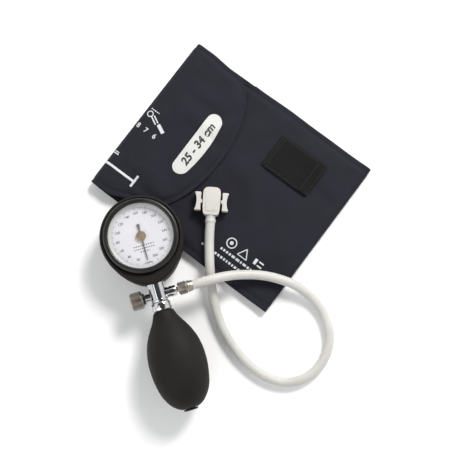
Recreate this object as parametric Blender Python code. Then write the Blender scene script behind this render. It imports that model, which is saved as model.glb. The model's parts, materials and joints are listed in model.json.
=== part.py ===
"""Upper arm blood pressure monitor: a palm aneroid gauge on a valve block and squeeze bulb,
one rubber hose ending in a squeeze-tab connector, and a folded adult arm cuff.

Units are metres, +Z is up and the floor is z = 0. The handset lies along Y, its bulb at -Y,
its dial facing +Z. Helpers take the sizes of one piece in millimetres, which keeps the
profiles readable, and scale them once by MM.
"""

import bmesh
import bpy
from math import atan2, cos, exp, hypot, pi, radians, sin, tau
from mathutils import Euler, Matrix, Vector

MM = 0.001

# Places of the two assemblies: the dial centre, and the cuff's left corner with its turn.
HUB = Vector((-0.08148, -0.00128, 0.0))
CUFF_CORNER = HUB + Vector((-0.02725, 0.05950, 0.0))
CUFF_TURN = radians(-53.35)

# Handset, in millimetres from the dial centre and the floor.
AXIS_Z = 23.5
GAUGE_R = 33.8
LOBE_REACH = 6.2
LOBE_WIDTH = radians(37)
BUMPER_BASE_Z = 11.3
BUMPER_TOP_Z = 34.3
CASE_R = 29.7
CASE_FLOOR_Z = 14.3
CASE_RIM_Z = 31.0
BEZEL_R = 30.4
BEZEL_TOP_Z = 37.9
LENS_R = 28.3
WINDOW_R = 26.9
DIAL_R = 24.6
DIAL_TOP_Z = 31.9
GAP = 0.3

# Movement of the gauge.
PLATE_HALF = (17.0, 12.0)
PLATE_Z = (26.5, 27.4)
BRIDGE_Z = (29.2, 30.0)
GEAR_Z = (27.7, 28.9)
PINION_R = 1.2
SECTOR_PIVOT = (-11.3, -4.6)
SHAFT_Y = -2.4
SHAFT_Z = 24.9
CAPSULE_R = 15.0
CAPSULE_Z = (18.6, 22.3)

# Valve block, bulb and hose fittings.
BLOCK_R = 7.0
BLOCK_Y = (-54.5, -35.8)
PORT_Y = -48.6
KNOB_R = 7.25
KNOB_X = (-23.0, -12.8)
COLLAR_R = 8.0
COLLAR_Y = (-61.5, -54.8)
HOSE_START_X = 29.3
HOSE_R = 3.9

# Cuff: length, width, and the heights of its layers.
CUFF_LENGTH = 180.4
CUFF_WIDTH = 145.0
BACK_OUTER_Z = (0.0, 0.9)
BLADDER_Z = (1.2, 2.1)
BACK_INNER_Z = (2.4, 3.3)
FRONT_Z = (3.8, 6.8)
HOOK_Z = (7.1, 7.6)
FLAP_Z = (7.9, 10.9)
FLAP_REACH = 75.5
FLAP_V = (8.0, 143.0)
LEFT_FOLD_R = FLAP_Z[1] / 2
RIGHT_FOLD_R = FRONT_Z[1] / 2
FRONT_START_U = 60.0
PORT_UV = (34.0, 60.0)
PORT_WINDOW_R = 13.5

# Connector on the hose end, lying on the cuff.
CONNECTOR_PLACE = (62.8, 13.8, 12.0)
CONNECTOR_TURN = radians(-20)

# Hose route from the nut to the connector, in millimetres from the dial centre.
HOSE_ROUTE = [
    (HOSE_START_X, PORT_Y, AXIS_Z),
    (37, -48.5, 23.3),
    (47, -48.6, 21.8),
    (57, -49.2, 19.0),
    (66, -50.5, 15.8),
    (76, -53.0, 12.9),
    (85, -56.2, 11.5),
    (93, -60.2, 11.2),
    (100, -64.6, 11.1),
    (106.5, -69.4, 10.3),
    (112.2, -75.0, 8.2),
    (117.3, -81.6, 5.9),
    (121.6, -89.2, 4.6),
    (124.5, -98, 4.1),
    (125.6, -107.3, 4.1),
    (124.8, -116.4, 4.1),
    (122, -125, 4.1),
    (117.3, -132.4, 4.1),
    (110.8, -138.7, 4.1),
    (103, -143.4, 4.1),
    (94.2, -146, 4.1),
    (85.6, -146.2, 4.1),
    (77.5, -144.2, 4.1),
    (70, -140.2, 4.1),
    (63.2, -134.6, 4.1),
    (57.4, -127.6, 4.1),
    (52.3, -119.4, 4.1),
    (48, -110.2, 4.1),
    (44.6, -100.2, 4.1),
    (42.3, -90, 4.2),
    (41.2, -79.8, 4.6),
    (41.2, -70, 5.6),
    (42, -60.5, 7.2),
    (43.4, -51.4, 9.0),
    (45.1, -42.4, 10.6),
    (47.2, -33.4, 11.2),
    (49.6, -24.4, 11.3),
    (52.2, -15.7, 11.5),
    (54.6, -8.6, 11.8),
    (56.75, -2.93, 12.0),
]

for old in list(bpy.data.objects):
    bpy.data.objects.remove(old, do_unlink=True)


# ---------------------------------------------------------------- materials

def finish(name, colour, roughness, metallic=0.0, transmission=0.0):
    """One Principled material."""
    material = bpy.data.materials.new(name)
    material.use_nodes = True
    shader = material.node_tree.nodes["Principled BSDF"]
    shader.inputs["Base Color"].default_value = (*colour, 1.0)
    shader.inputs["Roughness"].default_value = roughness
    shader.inputs["Metallic"].default_value = metallic
    shader.inputs["Transmission Weight"].default_value = transmission
    return material


RUBBER = finish("black_rubber", (0.022, 0.020, 0.018), 0.60)
BLACK_PLASTIC = finish("black_plastic", (0.018, 0.018, 0.020), 0.35)
CHROME = finish("polished_chrome", (0.78, 0.78, 0.80), 0.10, 1.0)
NICKEL = finish("brushed_nickel", (0.60, 0.58, 0.55), 0.30, 1.0)
BRASS = finish("brass", (0.72, 0.52, 0.24), 0.28, 1.0)
COPPER_ALLOY = finish("phosphor_bronze", (0.62, 0.38, 0.22), 0.35, 1.0)
STEEL = finish("spring_steel", (0.45, 0.46, 0.48), 0.30, 1.0)
ALUMINIUM = finish("grey_aluminium", (0.50, 0.51, 0.53), 0.40, 1.0)
DIAL_WHITE = finish("dial_enamel", (0.70, 0.67, 0.74), 0.45)
RING_WHITE = finish("white_ring_plastic", (0.82, 0.82, 0.84), 0.40)
CLEAR = finish("clear_lens", (0.98, 0.98, 0.98), 0.05, 0.0, 1.0)
HOSE_WHITE = finish("off_white_hose", (0.70, 0.69, 0.64), 0.50)
CONNECTOR_WHITE = finish("connector_plastic", (0.74, 0.68, 0.63), 0.40)
NAVY = finish("navy_nylon", (0.028, 0.030, 0.048), 0.80)
BLACK_WEB = finish("black_webbing", (0.012, 0.012, 0.014), 0.85)
LABEL = finish("label_cloth", (0.66, 0.67, 0.66), 0.70)
GREY_TPU = finish("grey_bladder_film", (0.32, 0.33, 0.35), 0.45)
HOOK = finish("hook_tape", (0.020, 0.020, 0.026), 0.90)


# ---------------------------------------------------------------- modelling helpers

def empty(name, place, turn=0.0, parent=None):
    """A guide that a group of pieces hangs on."""
    guide = bpy.data.objects.new(name, None)
    guide.location = place
    guide.rotation_euler = (0.0, 0.0, turn)
    guide.parent = parent
    bpy.context.collection.objects.link(guide)
    return guide


HANDSET = empty("handset_frame", HUB)
CUFF = empty("cuff_frame", CUFF_CORNER, CUFF_TURN)
CONNECTOR = empty("connector_frame", Vector(CONNECTOR_PLACE) * MM, CONNECTOR_TURN, HANDSET)

AXIS_TURN = {
    "x": Euler((0.0, pi / 2, 0.0)),
    "y": Euler((-pi / 2, 0.0, 0.0)),
    "z": Euler((0.0, 0.0, 0.0)),
}


def piece(name, bm, material, parent, place=(0, 0, 0), axis="z", crease=35):
    """Turn a bmesh, in millimetres, into a named object with one material."""
    bmesh.ops.scale(bm, vec=(MM, MM, MM), verts=bm.verts)
    bmesh.ops.recalc_face_normals(bm, faces=bm.faces)
    mesh = bpy.data.meshes.new(name)
    bm.to_mesh(mesh)
    bm.free()
    mesh.shade_smooth()
    mesh.set_sharp_from_angle(angle=radians(crease))
    mesh.materials.append(material)
    obj = bpy.data.objects.new(name, mesh)
    obj.parent = parent
    obj.location = Vector(place) * MM
    obj.rotation_euler = AXIS_TURN[axis]
    bpy.context.collection.objects.link(obj)
    return obj


def spin_profile(bm, profile, steps):
    """Revolve a closed (radius, height) outline about the local Z axis."""
    ring = [bm.verts.new((r, 0.0, h)) for r, h in profile]
    edges = [bm.edges.new((a, b)) for a, b in zip(ring, ring[1:] + ring[:1])]
    on_axis = [e for e in edges if all(abs(v.co.x) < 1e-6 for v in e.verts)]
    for edge in on_axis:
        edges.remove(edge)
        bm.edges.remove(edge)
    bmesh.ops.spin(
        bm, geom=ring + edges, cent=(0, 0, 0), axis=(0, 0, 1), angle=tau, steps=steps,
        use_merge=True, use_duplicate=False,
    )
    bmesh.ops.remove_doubles(bm, verts=bm.verts, dist=0.0005)


def turned(name, profile, material, parent, place=(0, 0, 0), axis="z", steps=28, crease=35):
    """A lathe-turned piece; the profile's heights are coordinates along its axis."""
    bm = bmesh.new()
    spin_profile(bm, profile, steps)
    return piece(name, bm, material, parent, place, axis, crease)


def tube_profile(outer, inner, low, high, chamfer=0.0):
    """The closed outline of a plain ring, with its outer edges chamfered."""
    if chamfer == 0.0:
        return [(inner, low), (outer, low), (outer, high), (inner, high)]
    return [
        (inner, low),
        (outer - chamfer, low),
        (outer, low + chamfer),
        (outer, high - chamfer),
        (outer - chamfer, high),
        (inner, high),
    ]


def disc_profile(radius, low, high, chamfer=0.0):
    """The outline of a solid disc or rod."""
    return tube_profile(radius, 0.0, low, high, chamfer)


def extrude_outline(bm, outline, low, high):
    """A flat outline made into a plate between two heights."""
    face = bm.faces.new([bm.verts.new((x, y, low)) for x, y in outline])
    grown = bmesh.ops.extrude_face_region(bm, geom=[face])
    top = [v for v in grown["geom"] if isinstance(v, bmesh.types.BMVert)]
    bmesh.ops.translate(bm, vec=(0, 0, high - low), verts=top)


def plate(name, outline, low, high, material, parent, place=(0, 0, 0), axis="z", crease=35):
    """A piece cut from sheet."""
    bm = bmesh.new()
    extrude_outline(bm, outline, low, high)
    return piece(name, bm, material, parent, place, axis, crease)


def add_box(bm, low, high):
    """A box between two corners, added to a bmesh."""
    centre = (Vector(low) + Vector(high)) / 2
    size = Vector(high) - Vector(low)
    matrix = Matrix.Translation(centre) @ Matrix.Diagonal((*size, 1.0))
    bmesh.ops.create_cube(bm, size=1.0, matrix=matrix)


def block(name, low, high, material, parent):
    """A rectangular piece."""
    bm = bmesh.new()
    add_box(bm, low, high)
    return piece(name, bm, material, parent)


def guide_only(obj):
    """Mark an object as a cutter or a joining guide, which isn't part of the model."""
    obj.hide_render = True
    obj.display_type = "WIRE"
    return obj


def boolean(target, guide, operation="DIFFERENCE"):
    """Cut or join a piece by a guide object."""
    guide_only(guide)
    modifier = target.modifiers.new(f"{operation.lower()}_{guide.name}", "BOOLEAN")
    modifier.operation = operation
    modifier.solver = "EXACT"
    modifier.object = guide


def bevel(target, width, segments=2, angle=50):
    """Round a piece's sharp edges."""
    modifier = target.modifiers.new("rounded_edges", "BEVEL")
    modifier.width = width * MM
    modifier.segments = segments
    modifier.limit_method = "ANGLE"
    modifier.angle_limit = radians(angle)


def rod(name, radius, low, high, parent, place, axis, steps=16):
    """A plain cylinder, used as a cutter or a joining guide."""
    return turned(name, disc_profile(radius, low, high), STEEL, parent, place, axis, steps)


def arc(cx, cy, radius, start, stop, steps):
    """Points on an arc, angles in degrees."""
    angles = [radians(start + (stop - start) * i / steps) for i in range(steps + 1)]
    return [(cx + radius * cos(a), cy + radius * sin(a)) for a in angles]


def rounded_box(x0, y0, x1, y1, radius, steps=4):
    """A rectangle's outline with round corners."""
    return (
        arc(x1 - radius, y1 - radius, radius, 0, 90, steps)
        + arc(x0 + radius, y1 - radius, radius, 90, 180, steps)
        + arc(x0 + radius, y0 + radius, radius, 180, 270, steps)
        + arc(x1 - radius, y0 + radius, radius, 270, 360, steps)
    )


# ---------------------------------------------------------------- gauge housing

def gauge_outline(steps=44):
    """A circle that swells into a lobe over the stem, at -Y."""
    points = []
    for i in range(steps):
        angle = tau * i / steps
        from_stem = atan2(sin(angle + pi / 2), cos(angle + pi / 2))
        radius = GAUGE_R + LOBE_REACH * exp(-((from_stem / LOBE_WIDTH) ** 2))
        points.append((radius * cos(angle), radius * sin(angle)))
    return points


def make_housing():
    """Rubber bumper, metal case, bezel, lens and its gasket."""
    bumper = plate("gauge_bumper", gauge_outline(), BUMPER_BASE_Z, BUMPER_TOP_Z, RUBBER, HANDSET)
    bevel(bumper, 3.4, 2)
    pocket = [
        (0, BUMPER_BASE_Z - 2),
        (22, BUMPER_BASE_Z - 2),
        (22, CASE_FLOOR_Z - GAP),
        (CASE_R + GAP, CASE_FLOOR_Z - GAP),
        (CASE_R + GAP, CASE_RIM_Z),
        (BEZEL_R + GAP, CASE_RIM_Z),
        (BEZEL_R + GAP, BUMPER_TOP_Z + 2),
        (0, BUMPER_TOP_Z + 2),
    ]
    boolean(bumper, turned("bumper_pocket", pocket, RUBBER, HANDSET, steps=36))
    tunnel = [
        (0, -46),
        (BLOCK_R + GAP, -46),
        (BLOCK_R + GAP, BLOCK_Y[1] + GAP),
        (3.3, BLOCK_Y[1] + GAP),
        (3.3, -28),
        (0, -28),
    ]
    boolean(bumper, turned("bumper_tunnel", tunnel, RUBBER, HANDSET, (0, 0, AXIS_Z), "y", 18))

    case = turned(
        "gauge_case",
        [
            (0, CASE_FLOOR_Z),
            (CASE_R - 0.8, CASE_FLOOR_Z),
            (CASE_R, CASE_FLOOR_Z + 0.8),
            (CASE_R, CASE_RIM_Z),
            (CASE_R - 1.2, CASE_RIM_Z),
            (CASE_R - 1.2, CASE_FLOOR_Z + 1.2),
            (0, CASE_FLOOR_Z + 1.2),
        ],
        ALUMINIUM, HANDSET, steps=36,
    )
    boolean(case, rod("case_stem_hole", 3.3, -33, -24, HANDSET, (0, 0, AXIS_Z), "y"))
    boolean(case, screw_holes("case_screw_holes", 1.25, CASE_FLOOR_Z - 1, CASE_FLOOR_Z + 2))

    turned(
        "bezel_ring",
        [
            (LENS_R + GAP, CASE_RIM_Z + GAP),
            (BEZEL_R, CASE_RIM_Z + GAP),
            (BEZEL_R, BEZEL_TOP_Z - 1.0),
            (BEZEL_R - 1.0, BEZEL_TOP_Z),
            (WINDOW_R + 0.6, BEZEL_TOP_Z),
            (WINDOW_R, BEZEL_TOP_Z - 0.5),
            (WINDOW_R, BEZEL_TOP_Z - 0.9),
            (LENS_R + GAP, BEZEL_TOP_Z - 0.9),
        ],
        BLACK_PLASTIC, HANDSET, steps=36,
    )
    lens_low = BEZEL_TOP_Z - 0.9 - GAP - 1.3
    turned("lens", disc_profile(LENS_R, lens_low, lens_low + 1.3, 0.25), CLEAR, HANDSET, steps=36)
    turned(
        "lens_gasket",
        tube_profile(LENS_R, 27.4, lens_low - GAP - 0.6, lens_low - GAP),
        BLACK_PLASTIC, HANDSET, steps=30,
    )
    turned(
        "dial_surround",
        [
            (DIAL_R - 0.4, DIAL_TOP_Z + GAP),
            (LENS_R - 0.2, DIAL_TOP_Z + GAP),
            (LENS_R - 0.2, lens_low - 0.9 - GAP),
            (27.2, lens_low - 0.9 - GAP),
            (DIAL_R - 0.4, DIAL_TOP_Z + 0.7),
        ],
        RING_WHITE, HANDSET, steps=36,
    )
    dial_low = DIAL_TOP_Z - 0.7
    turned(
        "dial_plate", tube_profile(LENS_R - 0.2, 1.1, dial_low, DIAL_TOP_Z),
        DIAL_WHITE, HANDSET, steps=36,
    )


SCREW_PLACES = arc(0, 0, 19, 90, 330, 2)


def screw_holes(name, radius, low, high):
    """One cutter that drills all the case screw holes."""
    return turned_group(name, disc_profile(radius, low, high), SCREW_PLACES)


def turned_group(name, profile, places, steps=12):
    """One guide object that holds the same turned shape at several places."""
    bm = bmesh.new()
    for x, y in places:
        one = bmesh.new()
        spin_profile(one, profile, steps)
        bmesh.ops.translate(one, vec=(x, y, 0), verts=one.verts)
        mesh = bpy.data.meshes.new("one_of_group")
        one.to_mesh(mesh)
        one.free()
        bm.from_mesh(mesh)
        bpy.data.meshes.remove(mesh)
    return piece(name, bm, STEEL, HANDSET)


# ---------------------------------------------------------------- gauge movement

PILLAR_PLACES = [(15, 10), (-15, 10), (-15, -10), (15, -10)]


def make_movement():
    """Base plate, pressure capsule, rocking shaft, sector, pinion, hairspring and pointer."""
    base_low = CASE_FLOOR_Z + 1.2 + GAP
    base_high = base_low + 1.0
    base = turned("movement_base", disc_profile(22.5, base_low, base_high), BRASS, HANDSET)
    pillar = disc_profile(1.5, base_low + 0.5, PLATE_Z[0] - GAP)
    boolean(base, turned_group("base_pillars", pillar, PILLAR_PLACES), "UNION")
    boolean(base, screw_holes("base_screw_holes", 1.25, base_low - 1, base_high + 1))
    screw = [
        (0, CASE_FLOOR_Z - GAP - 1.1),
        (1.9, CASE_FLOOR_Z - GAP - 1.1),
        (1.9, CASE_FLOOR_Z - GAP),
        (0.9, CASE_FLOOR_Z - GAP),
        (0.9, base_high + 0.5),
        (0, base_high + 0.5),
    ]
    for index, (x, y) in enumerate(SCREW_PLACES, start=1):
        turned(f"case_screw_{index}", screw, STEEL, HANDSET, (x, y, 0), steps=12)

    post = turned("capsule_post", disc_profile(3.0, base_high + GAP, 18.3), BRASS, HANDSET, steps=20)
    boolean(
        post, rod("capsule_feed_pipe", 0.5, -18.2, -1, HANDSET, (0, 0, 17.7), "y", 8), "UNION"
    )
    turned("pressure_capsule", capsule_profile(), COPPER_ALLOY, HANDSET, steps=20)
    link = [(0, 22.6), (1.6, 22.6), (1.6, 23.1), (0.7, 23.3), (0.7, 23.8), (0, 23.8)]
    turned("capsule_link", link, STEEL, HANDSET, steps=12)

    make_plate_and_bridge()
    make_rocking_shaft()
    make_sector()

    arbor = [
        (0, PLATE_Z[0] + 0.1),
        (0.55, PLATE_Z[0] + 0.1),
        (0.55, GEAR_Z[0]),
        (PINION_R, GEAR_Z[0]),
        (PINION_R, GEAR_Z[1]),
        (0.55, GEAR_Z[1]),
        (0.55, 33.1),
        (0, 33.1),
    ]
    turned("pinion_arbor", arbor, STEEL, HANDSET, steps=12)
    make_hairspring()
    make_pointer()


def capsule_profile():
    """Two corrugated bronze diaphragms, soldered at the rim."""
    low, high = CAPSULE_Z
    middle = (low + high) / 2
    upper = []
    for i in range(6):
        radius = 2.4 + (CAPSULE_R - 3.8) * i / 5
        wave = 0.25 * (-1) ** i
        upper.append((radius, high - 0.75 + wave - 0.35 * i / 5))
    lower = [(r, 2 * middle - h) for r, h in upper]
    rim = [(CAPSULE_R, middle - 0.3), (CAPSULE_R, middle + 0.3)]
    boss_low = [(0, low), (1.4, low)]
    boss_high = [(1.4, high), (0, high)]
    return boss_low + lower + rim + upper[::-1] + boss_high


def make_plate_and_bridge():
    """The movement plate, with lugs for the rocking shaft, and the bridge above it."""
    half_x, half_y = PLATE_HALF
    outline = rounded_box(-half_x, -half_y, half_x, half_y, 3.0, 3)
    movement_plate = plate("movement_plate", outline, *PLATE_Z, BRASS, HANDSET)
    lugs = bmesh.new()
    for low_x, high_x in ((-16.5, -15.2), (4.0, 5.5)):
        add_box(lugs, (low_x, SHAFT_Y - 2, 23.6), (high_x, SHAFT_Y + 2, PLATE_Z[0] + 0.4))
    boolean(movement_plate, piece("shaft_lugs", lugs, BRASS, HANDSET), "UNION")
    shaft_place = (0, SHAFT_Y, SHAFT_Z)
    boolean(movement_plate, rod("lug_bores", 1.0, -18, 8, HANDSET, shaft_place, "x", 12))
    window = (
        (-14.4, -6.2, PLATE_Z[0] - 0.3),
        (-12.2, -0.8, PLATE_Z[1] + 0.3),
    )
    boolean(movement_plate, block("finger_window", *window, BRASS, HANDSET))
    boolean(movement_plate, rod("plate_arbor_bore", 0.9, 26, 28, HANDSET, (0, 0, 0), "z", 12))

    bridge = plate("movement_bridge", rounded_box(-14, -11, 14, 11, 3.0, 3), *BRIDGE_Z, BRASS, HANDSET)
    leg = disc_profile(1.5, PLATE_Z[1] + GAP, BRIDGE_Z[0] + 0.4)
    boolean(bridge, turned_group("bridge_legs", leg, [(-11, 8.5), (11, -8.5)]), "UNION")
    boolean(bridge, rod("bridge_arbor_bore", 0.9, 28.5, 31, HANDSET, (0, 0, 0), "z", 12))


def make_rocking_shaft():
    """The shaft that the capsule's link tips, with its lever and its finger."""
    place = (0, SHAFT_Y, SHAFT_Z)
    profile = [(0, -16.4), (0.7, -16.4), (0.7, 5.4), (0, 5.4)]
    shaft = turned("rocking_shaft", profile, STEEL, HANDSET, place, "x", 12)
    lever_low = (-0.7, SHAFT_Y - 0.3, SHAFT_Z - 0.75)
    boolean(shaft, block("shaft_lever", lever_low, (0.7, 0.9, SHAFT_Z), STEEL, HANDSET), "UNION")
    # The finger's outline lies across the shaft: height above the axis is negative local X.
    top = GEAR_Z[1] + 0.1 - SHAFT_Z
    foot = GEAR_Z[0] + 0.2 - SHAFT_Z
    finger = [(0, 0.45), (-top, 0.45), (-top, -1.2), (-foot, -1.2), (-foot, -0.45), (0, -0.45)]
    boolean(shaft, plate("shaft_finger", finger, -13.8, -12.8, STEEL, HANDSET, place, "x"), "UNION")


def make_sector():
    """The sector that turns the pinion, with the tail that the finger pushes."""
    to_pinion = atan2(-SECTOR_PIVOT[1], -SECTOR_PIVOT[0])
    reach = hypot(*SECTOR_PIVOT) - PINION_R - GAP
    first = to_pinion - radians(42)
    last = to_pinion + radians(6)
    rim = []
    for i in range(13):
        angle = first + (last - first) * i / 12
        rim.append((reach * cos(angle), reach * sin(angle)))
    back = [(1.3 * cos(last + radians(a)), 1.3 * sin(last + radians(a))) for a in (60, 100)]
    tail = [(-2.2, 0.5), (-2.2, -0.5), (-1.2, -0.6), (0.2, -1.4)]
    outline = rim + back + tail
    sector = plate("sector_gear", outline, *GEAR_Z, BRASS, HANDSET, (*SECTOR_PIVOT, 0))
    stud = disc_profile(0.7, GEAR_Z[0] - GAP + 0.05, GEAR_Z[1] + GAP - 0.05)
    boolean(sector, turned("sector_stud", stud, STEEL, HANDSET, (*SECTOR_PIVOT, 0), steps=12), "UNION")


def make_hairspring():
    """A flat spiral of three turns that keeps the train loaded."""
    turns = 3
    steps = 11
    curve = bpy.data.curves.new("hairspring", "CURVE")
    curve.dimensions = "3D"
    spline = curve.splines.new("POLY")
    spline.points.add(turns * steps)
    for i, point in enumerate(spline.points):
        angle = tau * i / steps
        radius = 1.4 + 4.8 * i / (turns * steps)
        point.co = (radius * cos(angle) * MM, radius * sin(angle) * MM, 30.6 * MM, 1.0)
    curve.bevel_depth = 0.16 * MM
    curve.bevel_resolution = 0
    curve.use_fill_caps = True
    curve.materials.append(COPPER_ALLOY)
    obj = bpy.data.objects.new("hairspring", curve)
    obj.parent = HANDSET
    bpy.context.collection.objects.link(obj)


def make_pointer():
    """The pointer, at zero over the stem, and the brass disc that covers its boss."""
    outline = [
        (-1.4, 9.6), (-0.6, 4.5), (-1.9, 1.6), (-1.9, -1.6), (-0.55, -3.2), (-0.35, -20.2),
        (0.0, -20.8),
        (0.35, -20.2), (0.55, -3.2), (1.9, -1.6), (1.9, 1.6), (0.6, 4.5), (1.4, 9.6),
    ]
    pointer = plate("pointer", outline, 32.7, 33.1, BLACK_PLASTIC, HANDSET)
    boolean(pointer, rod("pointer_bore", 0.85, 32, 34, HANDSET, (0, 0, 0), "z", 12))
    cap = [(0, 33.4), (3.9, 33.4), (4.0, 33.5), (4.0, 33.9), (3.8, 34.1), (1.4, 34.1), (1.2, 34.5), (0, 34.5)]
    turned("pointer_hub", cap, BRASS, HANDSET, steps=24)


# ---------------------------------------------------------------- valve block

def make_block():
    """The stem, the chrome block, the collar and the bulb nipple with its check ball."""
    stem = turned(
        "gauge_stem",
        [(0, -38.0), (3.0, -38.0), (3.0, -26.5), (0, -26.5)],
        CHROME, HANDSET, (0, 0, AXIS_Z), "y", 20,
    )
    socket = block("stem_socket", (-4, -26.9, 17.1), (4, -18.5, 26.0), BRASS, HANDSET)
    boolean(stem, socket, "UNION")

    body = turned(
        "valve_block",
        disc_profile(BLOCK_R, *BLOCK_Y, 0.5),
        CHROME, HANDSET, (0, 0, AXIS_Z), "y", 24,
    )
    centre = (0, 0, AXIS_Z)
    boolean(body, rod("block_stem_bore", 3.3, -38.3, -34, HANDSET, centre, "y"))
    boolean(body, rod("block_air_way", 1.35, -53, -37, HANDSET, centre, "y", 14))
    boolean(body, rod("block_nipple_bore", 3.3, -56, -51.2, HANDSET, centre, "y"))
    side = (0, PORT_Y, AXIS_Z)
    boolean(body, rod("block_valve_bore", 3.2, -9, -4.6, HANDSET, side, "x"))
    boolean(body, rod("block_seat_way", 0.85, -5, 5, HANDSET, side, "x", 10))
    boolean(body, rod("block_port_bore", 4.6, 4.7, 9, HANDSET, side, "x"))

    turned(
        "bulb_collar", tube_profile(COLLAR_R, 3.3, *COLLAR_Y, 0.6),
        CHROME, HANDSET, centre, "y", 24,
    )
    turned("bulb_nipple", nipple_profile(), BRASS, HANDSET, centre, "y", 16)
    ball(name="outlet_ball", radius=1.5, y=-54.1)


def nipple_profile():
    """Threaded above the collar, barbed inside the bulb's neck, with a ball seat."""
    return [
        (0.8, -75.0),
        (3.4, -75.0),
        (4.2, -73.0),
        (4.2, -72.4),
        (3.4, -71.8),
        (4.2, -69.0),
        (4.2, -68.4),
        (3.4, -67.8),
        (3.4, -61.5),
        (3.0, -61.5),
        (3.0, -51.5),
        (1.9, -51.5),
        (1.9, -55.4),
        (0.8, -56.6),
    ]


def ball(name, radius, y):
    """A steel check ball on the handset's axis."""
    bm = bmesh.new()
    bmesh.ops.create_icosphere(bm, subdivisions=2, radius=radius)
    return piece(name, bm, STEEL, HANDSET, (0, y, AXIS_Z), crease=80)


def make_release_valve():
    """The bonnet, needle spindle, seal, washer and thumb knob."""
    side = (0, PORT_Y, AXIS_Z)
    turned(
        "valve_bonnet",
        [(1.7, -11.0), (2.9, -11.0), (2.9, -4.9), (1.7, -4.9)][::-1],
        NICKEL, HANDSET, side, "x", 20,
    )
    turned(
        "valve_spindle",
        [(0, -21.0), (1.4, -21.0), (1.4, -6.0), (0.5, -4.95), (0.5, -3.8), (0, -3.8)],
        STEEL, HANDSET, side, "x", 16,
    )
    turned("valve_washer", tube_profile(4.6, 1.7, -12.5, -11.3), BLACK_PLASTIC, HANDSET, side, "x", 24)
    turned(
        "release_knob",
        [
            (1.7, KNOB_X[1]),
            (1.7, -21.3),
            (0, -21.3),
            (0, KNOB_X[0]),
            (KNOB_R - 1.2, KNOB_X[0]),
            (KNOB_R, KNOB_X[0] + 1.0),
            (KNOB_R, KNOB_X[1] - 0.8),
            (KNOB_R - 0.8, KNOB_X[1]),
        ],
        NICKEL, HANDSET, side, "x", 24,
    )


def make_hose_port():
    """The side port, the swivel nut, the barb behind it and the ferrule over the hose."""
    side = (0, PORT_Y, AXIS_Z)
    turned(
        "hose_port",
        [
            (0.9, 5.0),
            (4.3, 5.0),
            (4.3, 14.6),
            (3.9, 15.0),
            (2.2, 15.0),
            (2.2, 19.6),
            (0.9, 19.6),
        ],
        CHROME, HANDSET, side, "x", 20,
    )
    turned(
        "hose_nut",
        [
            (2.6, 16.6),
            (4.8, 16.6),
            (5.25, 17.1),
            (5.25, 23.6),
            (4.8, 24.0),
            (2.6, 24.0),
        ],
        NICKEL, HANDSET, side, "x", 24,
    )
    turned(
        "hose_barb",
        [(0.8, 19.9), (2.2, 19.9), (2.2, 23.4), (1.5, 23.6), (1.5, 28.6), (0.8, 28.6)],
        BRASS, HANDSET, side, "x", 16,
    )
    turned(
        "hose_ferrule",
        [(1.8, 24.3), (4.9, 24.3), (4.9, 25.2), (4.0, 28.4), (3.7, 29.0), (1.8, 29.0)],
        NICKEL, HANDSET, side, "x", 20,
    )


# ---------------------------------------------------------------- bulb

BULB_OUTLINE = [
    (7.4, -61.9), (8.6, -63.2), (9.7, -66), (11.6, -70), (14.8, -75), (17.6, -80), (20.9, -88),
    (22.9, -98), (23.2, -106), (22.5, -115), (20.4, -125), (18.3, -130.5), (15.4, -135.2),
    (12.0, -138.9), (8.6, -141.2), (6.2, -142.0),
]


def bulb_profile():
    """A hollow pear: the outer outline, then the same outline set in by the wall."""
    inner = [
        (4.5, -142.0), (4.5, -139.0), (13.2, -133.4), (19.0, -120), (20.6, -106), (19.2, -90),
        (15.4, -80.5), (10.4, -76.6), (4.5, -76.0), (4.5, -61.9),
    ]
    return BULB_OUTLINE + inner


def make_bulb():
    """The squeeze bulb and the intake valve in its far end."""
    centre = (0, 0, AXIS_Z)
    turned("squeeze_bulb", bulb_profile(), RUBBER, HANDSET, centre, "y", 26)
    turned(
        "intake_plug",
        [
            (1.1, -143.5),
            (5.6, -143.5),
            (6.0, -143.1),
            (6.0, -142.3),
            (4.2, -142.3),
            (4.2, -134.0),
            (2.4, -134.0),
            (2.4, -139.2),
            (1.1, -140.6),
        ],
        NICKEL, HANDSET, centre, "y", 18,
    )
    ball(name="intake_ball", radius=1.7, y=-138.3)
    turned("intake_retainer", tube_profile(2.1, 0.9, -135.3, -134.5), STEEL, HANDSET, centre, "y", 16)


# ---------------------------------------------------------------- hose and connector

def smooth_route(points, step):
    """Points a step apart on a smooth curve through the route's own points."""
    knots = [Vector(p) for p in points]
    knots = [2 * knots[0] - knots[1]] + knots + [2 * knots[-1] - knots[-2]]
    dense = []
    for a, b, c, d in zip(knots, knots[1:], knots[2:], knots[3:]):
        for i in range(10):
            t = i / 10
            dense.append(
                0.5 * (2 * b + (c - a) * t + (2 * a - 5 * b + 4 * c - d) * t * t
                       + (3 * b - 3 * c + d - a) * t ** 3)
            )
    dense.append(knots[-2])
    total = sum((q - p).length for p, q in zip(dense, dense[1:]))
    count = round(total / step)
    path = [dense[0]]
    walked = 0.0
    for p, q in zip(dense, dense[1:]):
        span = (q - p).length
        while len(path) < count and walked + span >= total * len(path) / count:
            path.append(p.lerp(q, (total * len(path) / count - walked) / span))
        walked += span
    return path + [dense[-1]]


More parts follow.
